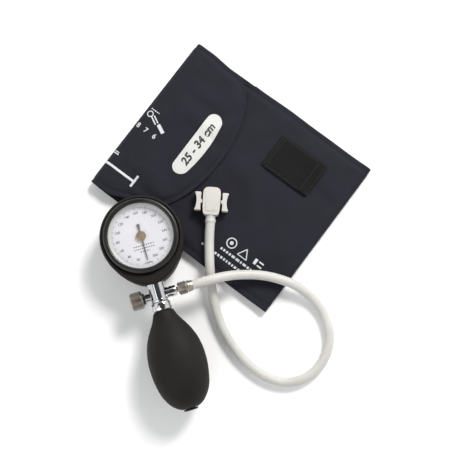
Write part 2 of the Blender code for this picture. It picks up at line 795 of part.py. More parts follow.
def make_hose():
    """The free hose, from the ferrule to the connector's sleeve."""
    curve = bpy.data.curves.new("air_hose", "CURVE")
    curve.dimensions = "3D"
    path = smooth_route(HOSE_ROUTE, 2.7 * HOSE_R)
    spline = curve.splines.new("POLY")
    spline.points.add(len(path) - 1)
    for point, place in zip(spline.points, path):
        point.co = (*(place * MM), 1.0)
    curve.bevel_depth = HOSE_R * MM
    curve.bevel_resolution = 2
    curve.use_fill_caps = True
    curve.materials.append(HOSE_WHITE)
    obj = bpy.data.objects.new("air_hose", curve)
    obj.parent = HANDSET
    bpy.context.collection.objects.link(obj)


TAB_OUTER = 14.2


def make_connector():
    """A quick connector: body with a socket, two squeeze tabs, a sleeve and a seal."""
    outline = (
        [(-6.4, -11.2), (6.4, -11.2), (7.25, -9.0), (7.25, 6.0)]
        + arc(0, 4.6, 7.25, 12, 168, 10)
        + [(-7.25, 6.0), (-7.25, -9.0)]
    )
    body = plate("connector_body", outline, -4.6, 4.6, CONNECTOR_WHITE, CONNECTOR)
    bevel(body, 1.2, 2)
    boolean(body, rod("connector_bore", 1.9, 2.0, 14, CONNECTOR, (0, 0, 0), "y", 16))
    boolean(body, rod("connector_seal_groove", 3.0, 4.4, 6.2, CONNECTOR, (0, 0, 0), "y", 16))
    boolean(body, rod("connector_air_way", 1.0, -13, 3, CONNECTOR, (0, 0, 0), "y", 10))
    turned("connector_seal", tube_profile(2.7, 1.6, 4.7, 5.9), BLACK_PLASTIC, CONNECTOR, axis="y", steps=16)

    for side, name in ((-1, "connector_tab_left"), (1, "connector_tab_right")):
        inner = 7.25 + GAP
        tab = [
            (side * inner, 1.2),
            (side * inner, -1.2),
            (side * 9.4, -1.6),
            (side * 9.0, -4.0),
            (side * 9.6, -7.6),
            (side * (TAB_OUTER - 0.6), -7.6),
            (side * TAB_OUTER, -6.6),
            (side * 12.6, -1.5),
            (side * 12.6, 1.5),
            (side * TAB_OUTER, 6.6),
            (side * (TAB_OUTER - 0.6), 7.6),
            (side * 9.6, 7.6),
            (side * 9.0, 4.0),
            (side * 9.4, 1.6),
        ]
        obj = plate(name, tab, -3.6, 3.6, CONNECTOR_WHITE, CONNECTOR)
        bevel(obj, 0.5, 1)

    turned(
        "connector_sleeve",
        [(1.3, -17.5), (4.0, -17.5), (4.7, -16.2), (4.7, -13.0), (4.2, -11.5), (1.3, -11.5)],
        HOSE_WHITE, CONNECTOR, axis="y", steps=18,
    )


# ---------------------------------------------------------------- cuff

def flap_outline(inset=0.0, start=5.75):
    """The rounded end: straight sides that meet a broad bulging tip."""
    low, high = FLAP_V[0] + inset, FLAP_V[1] - inset
    middle = (low + high) / 2
    half = (high - low) / 2
    reach = FLAP_REACH - inset
    shoulder = 40.0
    tip = []
    for i in range(21):
        angle = radians(-90 + 180 * i / 20)
        across = (reach - shoulder) * abs(cos(angle)) ** 0.95
        tip.append((shoulder + across, middle + half * sin(angle)))
    return [(start + inset, high), (start + inset, low)] + tip


def fold(name, outer, inner, length, centre_u, side):
    """A half-round fold of cloth: a C section run along the cuff's width."""
    steps = 10
    first = 90
    outline = arc(0, 0, outer, first, first + 180, steps) + arc(0, 0, inner, first + 180, first, steps)
    outline = [(centre_u + side * x, outer + y) for x, y in outline]
    bm = bmesh.new()
    extrude_outline(bm, outline, 0, length)
    # The outline lies in (u, z) with its run along local Z, which is turned to lie along v.
    bmesh.ops.rotate(bm, cent=(0, 0, 0), matrix=Matrix.Rotation(pi / 2, 3, "X"), verts=bm.verts)
    bmesh.ops.translate(bm, vec=(0, length, 0), verts=bm.verts)
    return piece(name, bm, NAVY, CUFF)


def make_cuff():
    """Cover layers, folds, bladder, flap, hook panel, strap, label and air port."""
    left = LEFT_FOLD_R + GAP
    right = CUFF_LENGTH - RIGHT_FOLD_R - GAP
    sheet = rounded_box(left, 0, right, CUFF_WIDTH, 0.6, 1)
    outer_back = plate("cuff_back_outer", sheet, *BACK_OUTER_Z, NAVY, CUFF)
    inner_back = plate("cuff_back_inner", sheet, *BACK_INNER_Z, NAVY, CUFF)
    bladder = plate(
        "bladder", rounded_box(14, 10, 170, CUFF_WIDTH - 10, 8, 4), *BLADDER_Z, GREY_TPU, CUFF
    )
    window = (*PORT_UV, 0)
    for index, layer in enumerate((outer_back, inner_back, bladder)):
        hole = rod(f"port_window_{index}", PORT_WINDOW_R, -1, 5, CUFF, window, "z", 32)
        boolean(layer, hole)
    fold("cuff_fold_left", LEFT_FOLD_R, LEFT_FOLD_R - 3.0, CUFF_WIDTH, LEFT_FOLD_R, 1)
    fold(
        "cuff_fold_right", RIGHT_FOLD_R, RIGHT_FOLD_R - 3.0, CUFF_WIDTH,
        CUFF_LENGTH - RIGHT_FOLD_R, -1,
    )
    front = rounded_box(FRONT_START_U, 0, right, CUFF_WIDTH, 0.6, 1)
    plate("cuff_front", front, *FRONT_Z, NAVY, CUFF)
    plate("cuff_flap", flap_outline(), *FLAP_Z, NAVY, CUFF)
    plate("hook_panel", flap_outline(6.0, 8.0), *HOOK_Z, HOOK, CUFF)
    strap_low = FRONT_Z[1] + GAP
    plate(
        "gauge_strap", rounded_box(103.5, 95.5, 149.5, 126.5, 1.0, 2),
        strap_low, strap_low + 1.6, BLACK_WEB, CUFF,
    )
    label_low = FLAP_Z[1] + 0.3
    plate("size_label", label_outline(), label_low, label_low + 0.4, LABEL, CUFF)
    make_cuff_port()


def label_outline():
    """Straight on the fold's side, bulging towards the flap's tip."""
    bulge = arc(-17.0, 77, 78, -17, 17, 10)
    corner = [(58.5, 101), (56.5, 105), (53, 107), (47.5, 107), (45.5, 105)]
    base = [(u, 154 - v) for u, v in corner]
    return base[::-1] + bulge + corner


def make_cuff_port():
    """The welded flange under the cuff, with the swivel spout that the connector fits."""
    flange_low = BACK_INNER_Z[1] + GAP
    place = (*PORT_UV, 0)
    turned(
        "port_flange",
        [
            (0, 0.9),
            (2.2, 0.9),
            (2.2, flange_low),
            (PORT_WINDOW_R + 2.5, flange_low),
            (PORT_WINDOW_R + 2.5, flange_low + 0.8),
            (0, flange_low + 0.8),
        ],
        GREY_TPU, CUFF, place, steps=32,
    )
    spout = turned(
        "port_spout",
        [(2.5, 0.5), (6.0, 0.5), (6.0, 3.2), (4.6, 3.2), (4.6, 2.3), (2.5, 2.3)],
        GREY_TPU, CUFF, place, steps=24,
    )
    boolean(spout, rod("spout_tube", 1.3, 5.2, 12.0, CUFF, (*PORT_UV, 1.85), "x", 12), "UNION")
    turned("port_seal", tube_profile(4.3, 2.8, 2.6, 3.2), BLACK_PLASTIC, CUFF, place, steps=20)


make_housing()
make_movement()
make_block()
make_release_valve()
make_hose_port()
make_bulb()
make_hose()
make_connector()
make_cuff()
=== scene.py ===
"""Looks of an upper arm blood pressure monitor: palm gauge, bulb, hose and folded cuff.

Lengths are metres. A piece's own profile is given in millimetres, in the axes of the assembly
that it belongs to, and its place matrix brings it to the row frame.
"""

import json
from math import atan2, cos, exp, pi, radians, sin, tau

import bmesh
import bpy
import numpy as np
from mathutils import Matrix, Vector, noise


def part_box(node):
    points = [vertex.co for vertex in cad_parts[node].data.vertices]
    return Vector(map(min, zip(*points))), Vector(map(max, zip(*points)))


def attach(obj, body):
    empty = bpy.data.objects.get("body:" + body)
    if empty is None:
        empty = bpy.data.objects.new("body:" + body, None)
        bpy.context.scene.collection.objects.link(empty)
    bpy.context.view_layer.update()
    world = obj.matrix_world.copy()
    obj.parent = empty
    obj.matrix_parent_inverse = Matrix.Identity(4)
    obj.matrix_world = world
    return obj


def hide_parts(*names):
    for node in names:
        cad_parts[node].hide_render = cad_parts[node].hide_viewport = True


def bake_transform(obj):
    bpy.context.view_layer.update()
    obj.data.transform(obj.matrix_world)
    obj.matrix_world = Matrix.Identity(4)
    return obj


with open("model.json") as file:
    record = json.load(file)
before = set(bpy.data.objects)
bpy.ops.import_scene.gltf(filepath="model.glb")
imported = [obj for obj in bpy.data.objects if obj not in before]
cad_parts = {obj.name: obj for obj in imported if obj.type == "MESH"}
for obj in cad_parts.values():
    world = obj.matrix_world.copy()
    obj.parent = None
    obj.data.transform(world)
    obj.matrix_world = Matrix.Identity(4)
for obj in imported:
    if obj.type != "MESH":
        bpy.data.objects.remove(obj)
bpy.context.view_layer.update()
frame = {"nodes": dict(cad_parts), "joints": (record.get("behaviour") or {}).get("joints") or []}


# ---------------------------------------------------------------- camera, floor and light
# The set lies on a flat white floor and is seen from nearly overhead, with a soft key light beyond
# the cuff, a larger, dimmer fill on the near side, white walls all round and a dark ceiling where the
# camera hangs.

MM = 0.001
HUB = (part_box("pointer_hub")[0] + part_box("pointer_hub")[1]) / 2
HUB.z = 0.0

CAMERA_AZIMUTH = radians(-16.5)
CAMERA_ELEVATION = radians(82.2)
CAMERA_DISTANCE = 0.864
AIM = HUB + Vector((0.06954, -0.00823, 0.0))

back = Vector((
    sin(CAMERA_AZIMUTH) * cos(CAMERA_ELEVATION),
    -cos(CAMERA_AZIMUTH) * cos(CAMERA_ELEVATION),
    sin(CAMERA_ELEVATION),
))
camera_data = bpy.data.cameras.new("camera")
camera_data.lens = 82.0
camera_data.sensor_width = 36.0
camera = bpy.data.objects.new("camera", camera_data)
camera.location = AIM + CAMERA_DISTANCE * back
camera.rotation_euler = (-back).to_track_quat("-Z", "Y").to_euler()
bpy.context.collection.objects.link(camera)
bpy.context.scene.camera = camera
bpy.context.scene.view_settings.view_transform = "Standard"


def area_light(name, place, size, power, colour=(1.0, 1.0, 1.0)):
    """A square soft light aimed at the middle of the set."""
    data = bpy.data.lights.new(name, "AREA")
    data.shape = "SQUARE"
    data.size = size
    data.energy = power
    data.color = colour
    lamp = bpy.data.objects.new(name, data)
    lamp.location = place
    lamp.rotation_euler = (AIM - Vector(place)).to_track_quat("-Z", "Y").to_euler()
    bpy.context.collection.objects.link(lamp)


area_light("key_light", (0.85, 0.75, 1.15), 0.55, 27.0, (1.0, 0.99, 0.97))
area_light("fill_light", (-0.9, -0.5, 1.3), 1.2, 7.0, (0.96, 0.98, 1.0))

world = bpy.data.worlds.new("white_room")
world.use_nodes = True
sky = world.node_tree
sky_way = sky.nodes.new("ShaderNodeTexCoord")
sky_axes = sky.nodes.new("ShaderNodeSeparateXYZ")
sky_ramp = sky.nodes.new("ShaderNodeValToRGB")
sky.links.new(sky_way.outputs["Generated"], sky_axes.inputs[0])
sky.links.new(sky_axes.outputs["Z"], sky_ramp.inputs["Fac"])
sky.links.new(sky_ramp.outputs["Color"], sky.nodes["Background"].inputs["Color"])
sky.nodes["Background"].inputs["Strength"].default_value = 1.0
WALLS = [(0.0, 0.75), (0.25, 0.95), (0.66, 1.0), (0.80, 0.10), (1.0, 0.06)]
while len(sky_ramp.color_ramp.elements) < len(WALLS):
    sky_ramp.color_ramp.elements.new(0.5)
for element, (height, level) in zip(sky_ramp.color_ramp.elements, WALLS):
    element.position = height
    element.color = (level, level, level, 1.0)
bpy.context.scene.world = world

FLOOR_HALF = 3.0
FLOOR_DROP = 0.0002
floor_mesh = bpy.data.meshes.new("floor")
floor_mesh.from_pydata(
    [(x * FLOOR_HALF, y * FLOOR_HALF, -FLOOR_DROP) for x, y in ((-1, -1), (1, -1), (1, 1), (-1, 1))],
    [], [(0, 1, 2, 3)],
)
floor = bpy.data.objects.new("floor", floor_mesh)
bpy.context.collection.objects.link(floor)
floor_paint = bpy.data.materials.new("floor_paint")
floor_paint.use_nodes = True
floor_shader = floor_paint.node_tree.nodes["Principled BSDF"]
floor_shader.inputs["Base Color"].default_value = (0.97, 0.97, 0.97, 1.0)
floor_shader.inputs["Roughness"].default_value = 0.7
floor_mesh.materials.append(floor_paint)


# ---------------------------------------------------------------- air hose
# One length of off-white rubber tube, pushed under the ferrule at the block and over the
# connector's barb. It leaves straight, sags onto the cuff, loops on the table and comes back.

def shader_group(name, inputs, outputs):
    """An empty node group with its sockets, and its input and output nodes."""
    tree = bpy.data.node_groups.new(name, "ShaderNodeTree")
    for label, kind, value in inputs:
        socket = tree.interface.new_socket(label, in_out="INPUT", socket_type=kind)
        if value is not None:
            socket.default_value = value
    for label, kind in outputs:
        tree.interface.new_socket(label, in_out="OUTPUT", socket_type=kind)
    return tree, tree.nodes.new("NodeGroupInput"), tree.nodes.new("NodeGroupOutput")


def math_node(tree, operation, *values):
    """A Math node fed by sockets or plain numbers; returns its output socket."""
    node = tree.nodes.new("ShaderNodeMath")
    node.operation = operation
    for socket, value in zip(node.inputs, values):
        if isinstance(value, (int, float)):
            socket.default_value = value
        else:
            tree.links.new(value, socket)
    return node.outputs[0]


def build_grain():
    """Moulded or ground surface: fine grain, with slow drifts of tone and gloss."""
    tree, given, put = shader_group(
        "surface_grain",
        [
            ("Vector", "NodeSocketVector", None),
            ("Scale", "NodeSocketFloat", 900.0),
            ("Light", "NodeSocketColor", (0.5, 0.5, 0.5, 1.0)),
            ("Dark", "NodeSocketColor", (0.4, 0.4, 0.4, 1.0)),
            ("Rough Low", "NodeSocketFloat", 0.4),
            ("Rough High", "NodeSocketFloat", 0.6),
        ],
        [("Color", "NodeSocketColor"), ("Roughness", "NodeSocketFloat"), ("Height", "NodeSocketFloat")],
    )
    fine = tree.nodes.new("ShaderNodeTexNoise")
    fine.inputs["Detail"].default_value = 5.0
    broad = tree.nodes.new("ShaderNodeTexNoise")
    broad.inputs["Detail"].default_value = 3.0
    tree.links.new(given.outputs["Vector"], fine.inputs["Vector"])
    tree.links.new(given.outputs["Vector"], broad.inputs["Vector"])
    tree.links.new(given.outputs["Scale"], fine.inputs["Scale"])
    slow = math_node(tree, "MULTIPLY", given.outputs["Scale"], 0.07)
    tree.links.new(slow, broad.inputs["Scale"])
    blend = math_node(tree, "MULTIPLY_ADD", fine.outputs["Fac"], 0.35, -0.175)
    tone = math_node(tree, "ADD", broad.outputs["Fac"], blend)
    steep = math_node(tree, "MULTIPLY_ADD", tone, 2.2, -0.6)
    mix = tree.nodes.new("ShaderNodeMix")
    mix.data_type = "RGBA"
    tree.links.new(steep, mix.inputs["Factor"])
    tree.links.new(given.outputs["Dark"], mix.inputs[6])
    tree.links.new(given.outputs["Light"], mix.inputs[7])
    spread = tree.nodes.new("ShaderNodeMapRange")
    tree.links.new(tone, spread.inputs["Value"])
    spread.inputs["From Min"].default_value = 0.3
    spread.inputs["From Max"].default_value = 0.7
    tree.links.new(given.outputs["Rough Low"], spread.inputs["To Min"])
    tree.links.new(given.outputs["Rough High"], spread.inputs["To Max"])
    tree.links.new(mix.outputs[2], put.inputs["Color"])
    tree.links.new(spread.outputs["Result"], put.inputs["Roughness"])
    tree.links.new(fine.outputs["Fac"], put.inputs["Height"])
    return tree


GRAIN = build_grain()


def new_material(name, constants):
    """A material with its Principled shader and that shader's plain settings."""
    material = bpy.data.materials.new(name)
    material.use_nodes = True
    shader = material.node_tree.nodes["Principled BSDF"]
    for label, value in constants.items():
        shader.inputs[label].default_value = value
    return material, material.node_tree, shader


def add_bump(tree, shader, height, distance):
    """Feed a height, in the given depth, to the shader's normal."""
    bump = tree.nodes.new("ShaderNodeBump")
    bump.inputs["Distance"].default_value = distance
    tree.links.new(height, bump.inputs["Height"])
    tree.links.new(bump.outputs["Normal"], shader.inputs["Normal"])


def grained(name, light, dark, rough, scale, depth, **constants):
    """A solid material with the grain group on Object coordinates."""
    material, tree, shader = new_material(name, constants)
    grain = tree.nodes.new("ShaderNodeGroup")
    grain.node_tree = GRAIN
    grain.inputs["Scale"].default_value = scale
    grain.inputs["Light"].default_value = (*light, 1.0)
    grain.inputs["Dark"].default_value = (*dark, 1.0)
    grain.inputs["Rough Low"].default_value = rough[0]
    grain.inputs["Rough High"].default_value = rough[1]
    where = tree.nodes.new("ShaderNodeTexCoord")
    tree.links.new(where.outputs["Object"], grain.inputs["Vector"])
    tree.links.new(grain.outputs["Color"], shader.inputs["Base Color"])
    tree.links.new(grain.outputs["Roughness"], shader.inputs["Roughness"])
    add_bump(tree, shader, grain.outputs["Height"], depth)
    return material


HOSE_RUBBER = grained(
    "off_white_hose", (0.56, 0.555, 0.53), (0.48, 0.475, 0.45), (0.38, 0.55), 700.0, 0.00003,
    **{"Subsurface Weight": 0.25, "Subsurface Scale": 0.004},
)

HOSE_DIAMETER = 0.0078
PORT_Y = -0.0486
# The hose's route in metres from the dial centre: out of the ferrule, over its own far run,
# across the cuff's corner, round the loop on the table and up to the connector.
HOSE_ROUTE = [
    (0.0293, PORT_Y, 0.0235),
    (0.037, -0.0485, 0.0233),
    (0.047, -0.0486, 0.0218),
    (0.057, -0.0492, 0.0190),
    (0.066, -0.0505, 0.0158),
    (0.076, -0.0530, 0.0129),
    (0.085, -0.0562, 0.0115),
    (0.093, -0.0602, 0.0112),
    (0.100, -0.0646, 0.0111),
    (0.1065, -0.0694, 0.0103),
    (0.1122, -0.0750, 0.0082),
    (0.1173, -0.0816, 0.0059),
    (0.1216, -0.0892, 0.0046),
    (0.1245, -0.098, 0.0041),
    (0.1256, -0.1073, 0.0041),
    (0.1248, -0.1164, 0.0041),
    (0.122, -0.125, 0.0041),
    (0.1173, -0.1324, 0.0041),
    (0.1108, -0.1387, 0.0041),
    (0.103, -0.1434, 0.0041),
    (0.0942, -0.146, 0.0041),
    (0.0856, -0.1462, 0.0041),
    (0.0775, -0.1442, 0.0041),
    (0.070, -0.1402, 0.0041),
    (0.0632, -0.1346, 0.0041),
    (0.0574, -0.1276, 0.0041),
    (0.0523, -0.1194, 0.0041),
    (0.048, -0.1102, 0.0041),
    (0.0446, -0.1002, 0.0041),
    (0.0423, -0.090, 0.0042),
    (0.0412, -0.0798, 0.0046),
    (0.0412, -0.070, 0.0056),
    (0.042, -0.0605, 0.0072),
    (0.0434, -0.0514, 0.0090),
    (0.0451, -0.0424, 0.0106),
    (0.0472, -0.0334, 0.0112),
    (0.0496, -0.0244, 0.0113),
    (0.0522, -0.0157, 0.0115),
    (0.0546, -0.0086, 0.0118),
    (0.05675, -0.00293, 0.0120),
]


def smooth_path(points, per_span):
    """Points on a Catmull-Rom curve through the given points."""
    knots = [Vector(p) for p in points]
    knots = [2 * knots[0] - knots[1]] + knots + [2 * knots[-1] - knots[-2]]
    path = []
    for a, b, c, d in zip(knots, knots[1:], knots[2:], knots[3:]):
        for i in range(per_span):
            t = i / per_span
            path.append(
                0.5 * (2 * b + (c - a) * t + (2 * a - 5 * b + 4 * c - d) * t * t
                       + (3 * b - 3 * c + d - a) * t ** 3)
            )
    return path + [knots[-2]]


hose_path = [HUB + p for p in smooth_path(HOSE_ROUTE, 4)]
hose_curve = bpy.data.curves.new("hose", "CURVE")
hose_curve.dimensions = "3D"
hose_spline = hose_curve.splines.new("POLY")
hose_spline.points.add(len(hose_path) - 1)
for point, place in zip(hose_spline.points, hose_path):
    point.co = (*place, 1.0)
hose_curve.bevel_depth = HOSE_DIAMETER / 2
hose_curve.bevel_resolution = 8
hose_curve.use_fill_caps = True
hose_curve.materials.append(HOSE_RUBBER)
hose = bpy.data.objects.new("hose", hose_curve)
bpy.context.collection.objects.link(hose)
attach(hose, "handset")
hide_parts("air_hose")


# ---------------------------------------------------------------- hose connector
# A moulded quick connector: a flat body with a socket in its round nose, and a waisted squeeze
# tab on each side. The hose end swells over the barb behind it.

HANDSET = Matrix.Translation(HUB) @ Matrix.Scale(MM, 4)
CONNECTOR = (
    HANDSET @ Matrix.Translation((62.8, 13.8, 12.0)) @ Matrix.Rotation(radians(-20), 4, "Z")
)
AXIS_TURN = {
    "x": Matrix.Rotation(pi / 2, 4, "Y"),
    "y": Matrix.Rotation(-pi / 2, 4, "X"),
    "z": Matrix.Identity(4),
}


def finished(name, bm, place, material, body, nodes=(), crease=40):
    """Turn a bmesh in an assembly's millimetres into a piece that rides on a body."""
    bm.transform(place)
    bmesh.ops.recalc_face_normals(bm, faces=bm.faces)
    mesh = bpy.data.meshes.new(name)
    bm.to_mesh(mesh)
    bm.free()
    mesh.shade_smooth()
    mesh.set_sharp_from_angle(angle=radians(crease))
    mesh.materials.append(material)
    obj = bpy.data.objects.new(name, mesh)
    bpy.context.collection.objects.link(obj)
    if body:
        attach(obj, body)
    if nodes:
        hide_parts(*nodes)
    return obj


def round_edges(obj, width, segments=3, angle=40):
    """A live Bevel on the piece's sharp edges, width in millimetres."""
    modifier = obj.modifiers.new("rounded_edges", "BEVEL")
    modifier.width = width * MM
    modifier.segments = segments
    modifier.limit_method = "ANGLE"
    modifier.angle_limit = radians(angle)
    return obj


def spin(bm, profile, steps):
    """Revolve a closed (radius, height) outline about local Z."""
    ring = [bm.verts.new((r, 0.0, h)) for r, h in profile]
    edges = []
    for a, b in zip(ring, ring[1:] + ring[:1]):
        if abs(a.co.x) > 1e-6 or abs(b.co.x) > 1e-6:
            edges.append(bm.edges.new((a, b)))
    bmesh.ops.spin(
        bm, geom=ring + edges, cent=(0, 0, 0), axis=(0, 0, 1), angle=tau, steps=steps,
        use_merge=True, use_duplicate=False,
    )
    bmesh.ops.remove_doubles(bm, verts=bm.verts, dist=0.0005)


def turned(name, profile, place, axis, material, body, nodes=(), steps=96, crease=28):
    """A lathe-turned piece; the profile's heights run along the axis of its assembly."""
    bm = bmesh.new()
    spin(bm, profile, steps)
    return finished(name, bm, place @ AXIS_TURN[axis], material, body, nodes, crease)


def plate(name, outline, low, high, place, material, body, nodes=(), crease=40):
    """A flat outline given thickness between two heights."""
    bm = bmesh.new()
    face = bm.faces.new([bm.verts.new((x, y, low)) for x, y in outline])
    grown = bmesh.ops.extrude_face_region(bm, geom=[face])
    top = [v for v in grown["geom"] if isinstance(v, bmesh.types.BMVert)]
    bmesh.ops.translate(bm, vec=(0, 0, high - low), verts=top)
    return finished(name, bm, place, material, body, nodes, crease)


def arc(cx, cy, radius, start, stop, steps):
    """Points on an arc, angles in degrees."""
    angles = [radians(start + (stop - start) * i / steps) for i in range(steps + 1)]
    return [(cx + radius * cos(a), cy + radius * sin(a)) for a in angles]


def cut(obj, cutter):
    """Cut a piece by another object and keep the result as its plain mesh."""
    modifier = obj.modifiers.new("cut", "BOOLEAN")
    modifier.operation = "DIFFERENCE"
    modifier.solver = "EXACT"
    modifier.object = cutter
    depsgraph = bpy.context.evaluated_depsgraph_get()
    mesh = bpy.data.meshes.new_from_object(obj.evaluated_get(depsgraph))
    obj.modifiers.remove(modifier)
    obj.data = mesh
    bpy.data.objects.remove(cutter, do_unlink=True)


def cutter_rod(radius, low, high, place, axis, steps=48):
    """A plain cylinder used only to cut."""
    bm = bmesh.new()
    spin(bm, [(0, low), (radius, low), (radius, high), (0, high)], steps)
    bm.transform(place @ AXIS_TURN[axis])
    bmesh.ops.recalc_face_normals(bm, faces=bm.faces)
    mesh = bpy.data.meshes.new("cutter")
    bm.to_mesh(mesh)
    bm.free()
    obj = bpy.data.objects.new("cutter", mesh)
    bpy.context.collection.objects.link(obj)
    return obj


CONNECTOR_PLASTIC = grained(
    "connector_plastic", (0.62, 0.59, 0.56), (0.55, 0.52, 0.49), (0.32, 0.48), 500.0, 0.00002,
    **{"Subsurface Weight": 0.15, "Subsurface Scale": 0.003},
)

nose = [
    (7.25 * np.sign(cos(a)) * abs(cos(a)) ** 0.5, 6.2 + 5.65 * sin(a) ** 0.9)
    for a in np.linspace(0.06, pi - 0.06, 27)
]
body_outline = arc(4.3, -8.9, 2.3, -90, -15, 6) + [(7.1, -5.0)] + nose + [(-7.1, -5.0)]
body_outline += arc(-4.3, -8.9, 2.3, 195, 270, 6)
connector_body = plate(
    "connector_shell", body_outline, -4.6, 4.6, CONNECTOR, CONNECTOR_PLASTIC, "handset",
    ["connector_body"],
)
cut(connector_body, cutter_rod(1.9, 2.0, 14, CONNECTOR, "y"))
round_edges(connector_body, 1.1, 4)
panel_outline = arc(3.5, 7.2, 1.6, 0, 90, 5) + arc(-3.5, 7.2, 1.6, 90, 180, 5)
panel_outline += arc(-3.1, -6.6, 1.6, 180, 270, 5) + arc(3.1, -6.6, 1.6, 270, 360, 5)
round_edges(
    plate(
        "connector_raised_panel", panel_outline, 4.4, 4.95, CONNECTOR, CONNECTOR_PLASTIC,
        "handset",
    ),
    0.25, 2,
)

TAB_OUTER = 14.2
for side, facing, body, node in (
    (-1, 0, "tab_left", "connector_tab_left"), (1, 180, "tab_right", "connector_tab_right"),
):
    waist = arc(side * 31.2, 0.0, 18.7, facing - 20, facing + 20, 14)
    waist = [p for p in waist if abs(p[1]) < 6.6]
    if waist[0][1] > waist[-1][1]:
        waist = waist[::-1]
    tab_outline = [
        (side * 7.55, 1.2), (side * 7.55, -1.2), (side * 8.9, -1.5), (side * 8.9, -4.6),
        (side * 8.7, -7.0), (side * 9.2, -7.6), (side * (TAB_OUTER - 0.8), -7.6),
        (side * TAB_OUTER, -6.9),
    ] + waist + [
        (side * TAB_OUTER, 6.9), (side * (TAB_OUTER - 0.8), 7.6), (side * 9.2, 7.6),
        (side * 8.7, 7.0), (side * 8.9, 4.6), (side * 8.9, 1.5),
    ]
    tab = plate(
        f"squeeze_tab_{'left' if side < 0 else 'right'}", tab_outline, -3.6, 3.6,
        CONNECTOR, CONNECTOR_PLASTIC, body, [node],
    )
    round_edges(tab, 0.55, 3)

sleeve_profile = [
    (1.3, -17.9), (3.85, -17.9), (4.0, -17.3), (4.35, -16.7), (4.5, -16.0), (4.35, -15.3),
    (4.1, -14.6), (4.0, -13.6), (4.05, -12.4), (4.3, -11.3), (1.3, -11.3),
]
sleeve = turned(
    "hose_swell", sleeve_profile, CONNECTOR, "y", HOSE_RUBBER, "handset", ["connector_sleeve"],
    crease=60,
)


# ---------------------------------------------------------------- cuff cover
# Navy coated nylon, two sheets welded round the edge over a flat bladder, folded in three. The
# cover is one long strip: here the back, the right fold and the front layer are one piece.

opening = next(j for j in frame["joints"] if j["name"] == "flap_open")
V_AXIS = -Vector(opening["axis"])
U_AXIS = Vector((V_AXIS.y, -V_AXIS.x, 0.0))
FOLD_RADIUS = 5.45
CUFF_LENGTH = 180.4
CUFF_WIDTH = 145.0
FLAP_MIDDLE = 75.5
hinge_point = Vector(opening["pos_m"])
cuff_corner = hinge_point - (FOLD_RADIUS * U_AXIS + FLAP_MIDDLE * V_AXIS) * MM
cuff_corner.z = 0.0
CUFF = Matrix.Identity(4)
CUFF.col[0] = (*U_AXIS * MM, 0.0)
CUFF.col[1] = (*V_AXIS * MM, 0.0)
CUFF.col[2] = (0.0, 0.0, MM, 0.0)
CUFF.col[3] = (*cuff_corner, 1.0)


def build_weave():
    """Plain weave on a UV map in metres: two sets of threads, each over and under."""
    tree, given, put = shader_group(
        "plain_weave",
        [("Vector", "NodeSocketVector", None), ("Pitch", "NodeSocketFloat", 0.0004)],
        [("Height", "NodeSocketFloat"), ("Warp", "NodeSocketFloat")],
    )
    axes = tree.nodes.new("ShaderNodeSeparateXYZ")
    tree.links.new(given.outputs["Vector"], axes.inputs[0])
    along = math_node(tree, "DIVIDE", axes.outputs[0], given.outputs["Pitch"])
    across = math_node(tree, "DIVIDE", axes.outputs[1], given.outputs["Pitch"])
    crown_a = math_node(tree, "ABSOLUTE", math_node(tree, "SINE", math_node(tree, "MULTIPLY", along, pi)))
    crown_b = math_node(tree, "ABSOLUTE", math_node(tree, "SINE", math_node(tree, "MULTIPLY", across, pi)))
    cells = math_node(
        tree, "ADD", math_node(tree, "FLOOR", along), math_node(tree, "FLOOR", across)
    )
    warp = math_node(tree, "FLOORED_MODULO", cells, 2.0)
    weft = math_node(tree, "SUBTRACT", 1.0, warp)
    height = math_node(
        tree, "ADD", math_node(tree, "MULTIPLY", crown_a, warp), math_node(tree, "MULTIPLY", crown_b, weft)
    )
    tree.links.new(height, put.inputs["Height"])
    tree.links.new(warp, put.inputs["Warp"])
    return tree


WEAVE = build_weave()


def woven(name, warp, weft, rough, pitch, depth, drift=0.35, **constants):
    """Cloth: the weave group on the UV map, with slow drifts of tone from handling."""
    material, tree, shader = new_material(name, constants)
    uv = tree.nodes.new("ShaderNodeUVMap")
    uv.uv_map = "cloth"
    weave = tree.nodes.new("ShaderNodeGroup")
    weave.node_tree = WEAVE
    weave.inputs["Pitch"].default_value = pitch
    tree.links.new(uv.outputs["UV"], weave.inputs["Vector"])
    threads = tree.nodes.new("ShaderNodeMix")
    threads.data_type = "RGBA"
    threads.inputs[6].default_value = (*weft, 1.0)
    threads.inputs[7].default_value = (*warp, 1.0)
    tree.links.new(weave.outputs["Warp"], threads.inputs["Factor"])
    cloud = tree.nodes.new("ShaderNodeTexNoise")
    cloud.inputs["Scale"].default_value = 38.0
    cloud.inputs["Detail"].default_value = 4.0
    tree.links.new(uv.outputs["UV"], cloud.inputs["Vector"])
    worn = tree.nodes.new("ShaderNodeHueSaturation")
    lift = math_node(tree, "MULTIPLY_ADD", cloud.outputs["Fac"], 2 * drift, 1.0 - drift)
    tree.links.new(lift, worn.inputs["Value"])
    tree.links.new(threads.outputs[2], worn.inputs["Color"])
    tree.links.new(worn.outputs["Color"], shader.inputs["Base Color"])
    gloss = tree.nodes.new("ShaderNodeMapRange")
    gloss.inputs["To Min"].default_value = rough[0]
    gloss.inputs["To Max"].default_value = rough[1]
    tree.links.new(cloud.outputs["Fac"], gloss.inputs["Value"])
    tree.links.new(gloss.outputs["Result"], shader.inputs["Roughness"])
    add_bump(tree, shader, weave.outputs["Height"], depth)
    return material


NAVY = woven(
    "navy_nylon", (0.0125, 0.0125, 0.0205), (0.0080, 0.0080, 0.0150), (0.60, 0.78), 0.00042, 0.00006,
    **{"Specular IOR Level": 0.20, "Sheen Weight": 0.02, "Sheen Roughness": 0.5},
)


CLOTH_CELL = 3.4
SETTLE_FRAMES = 26


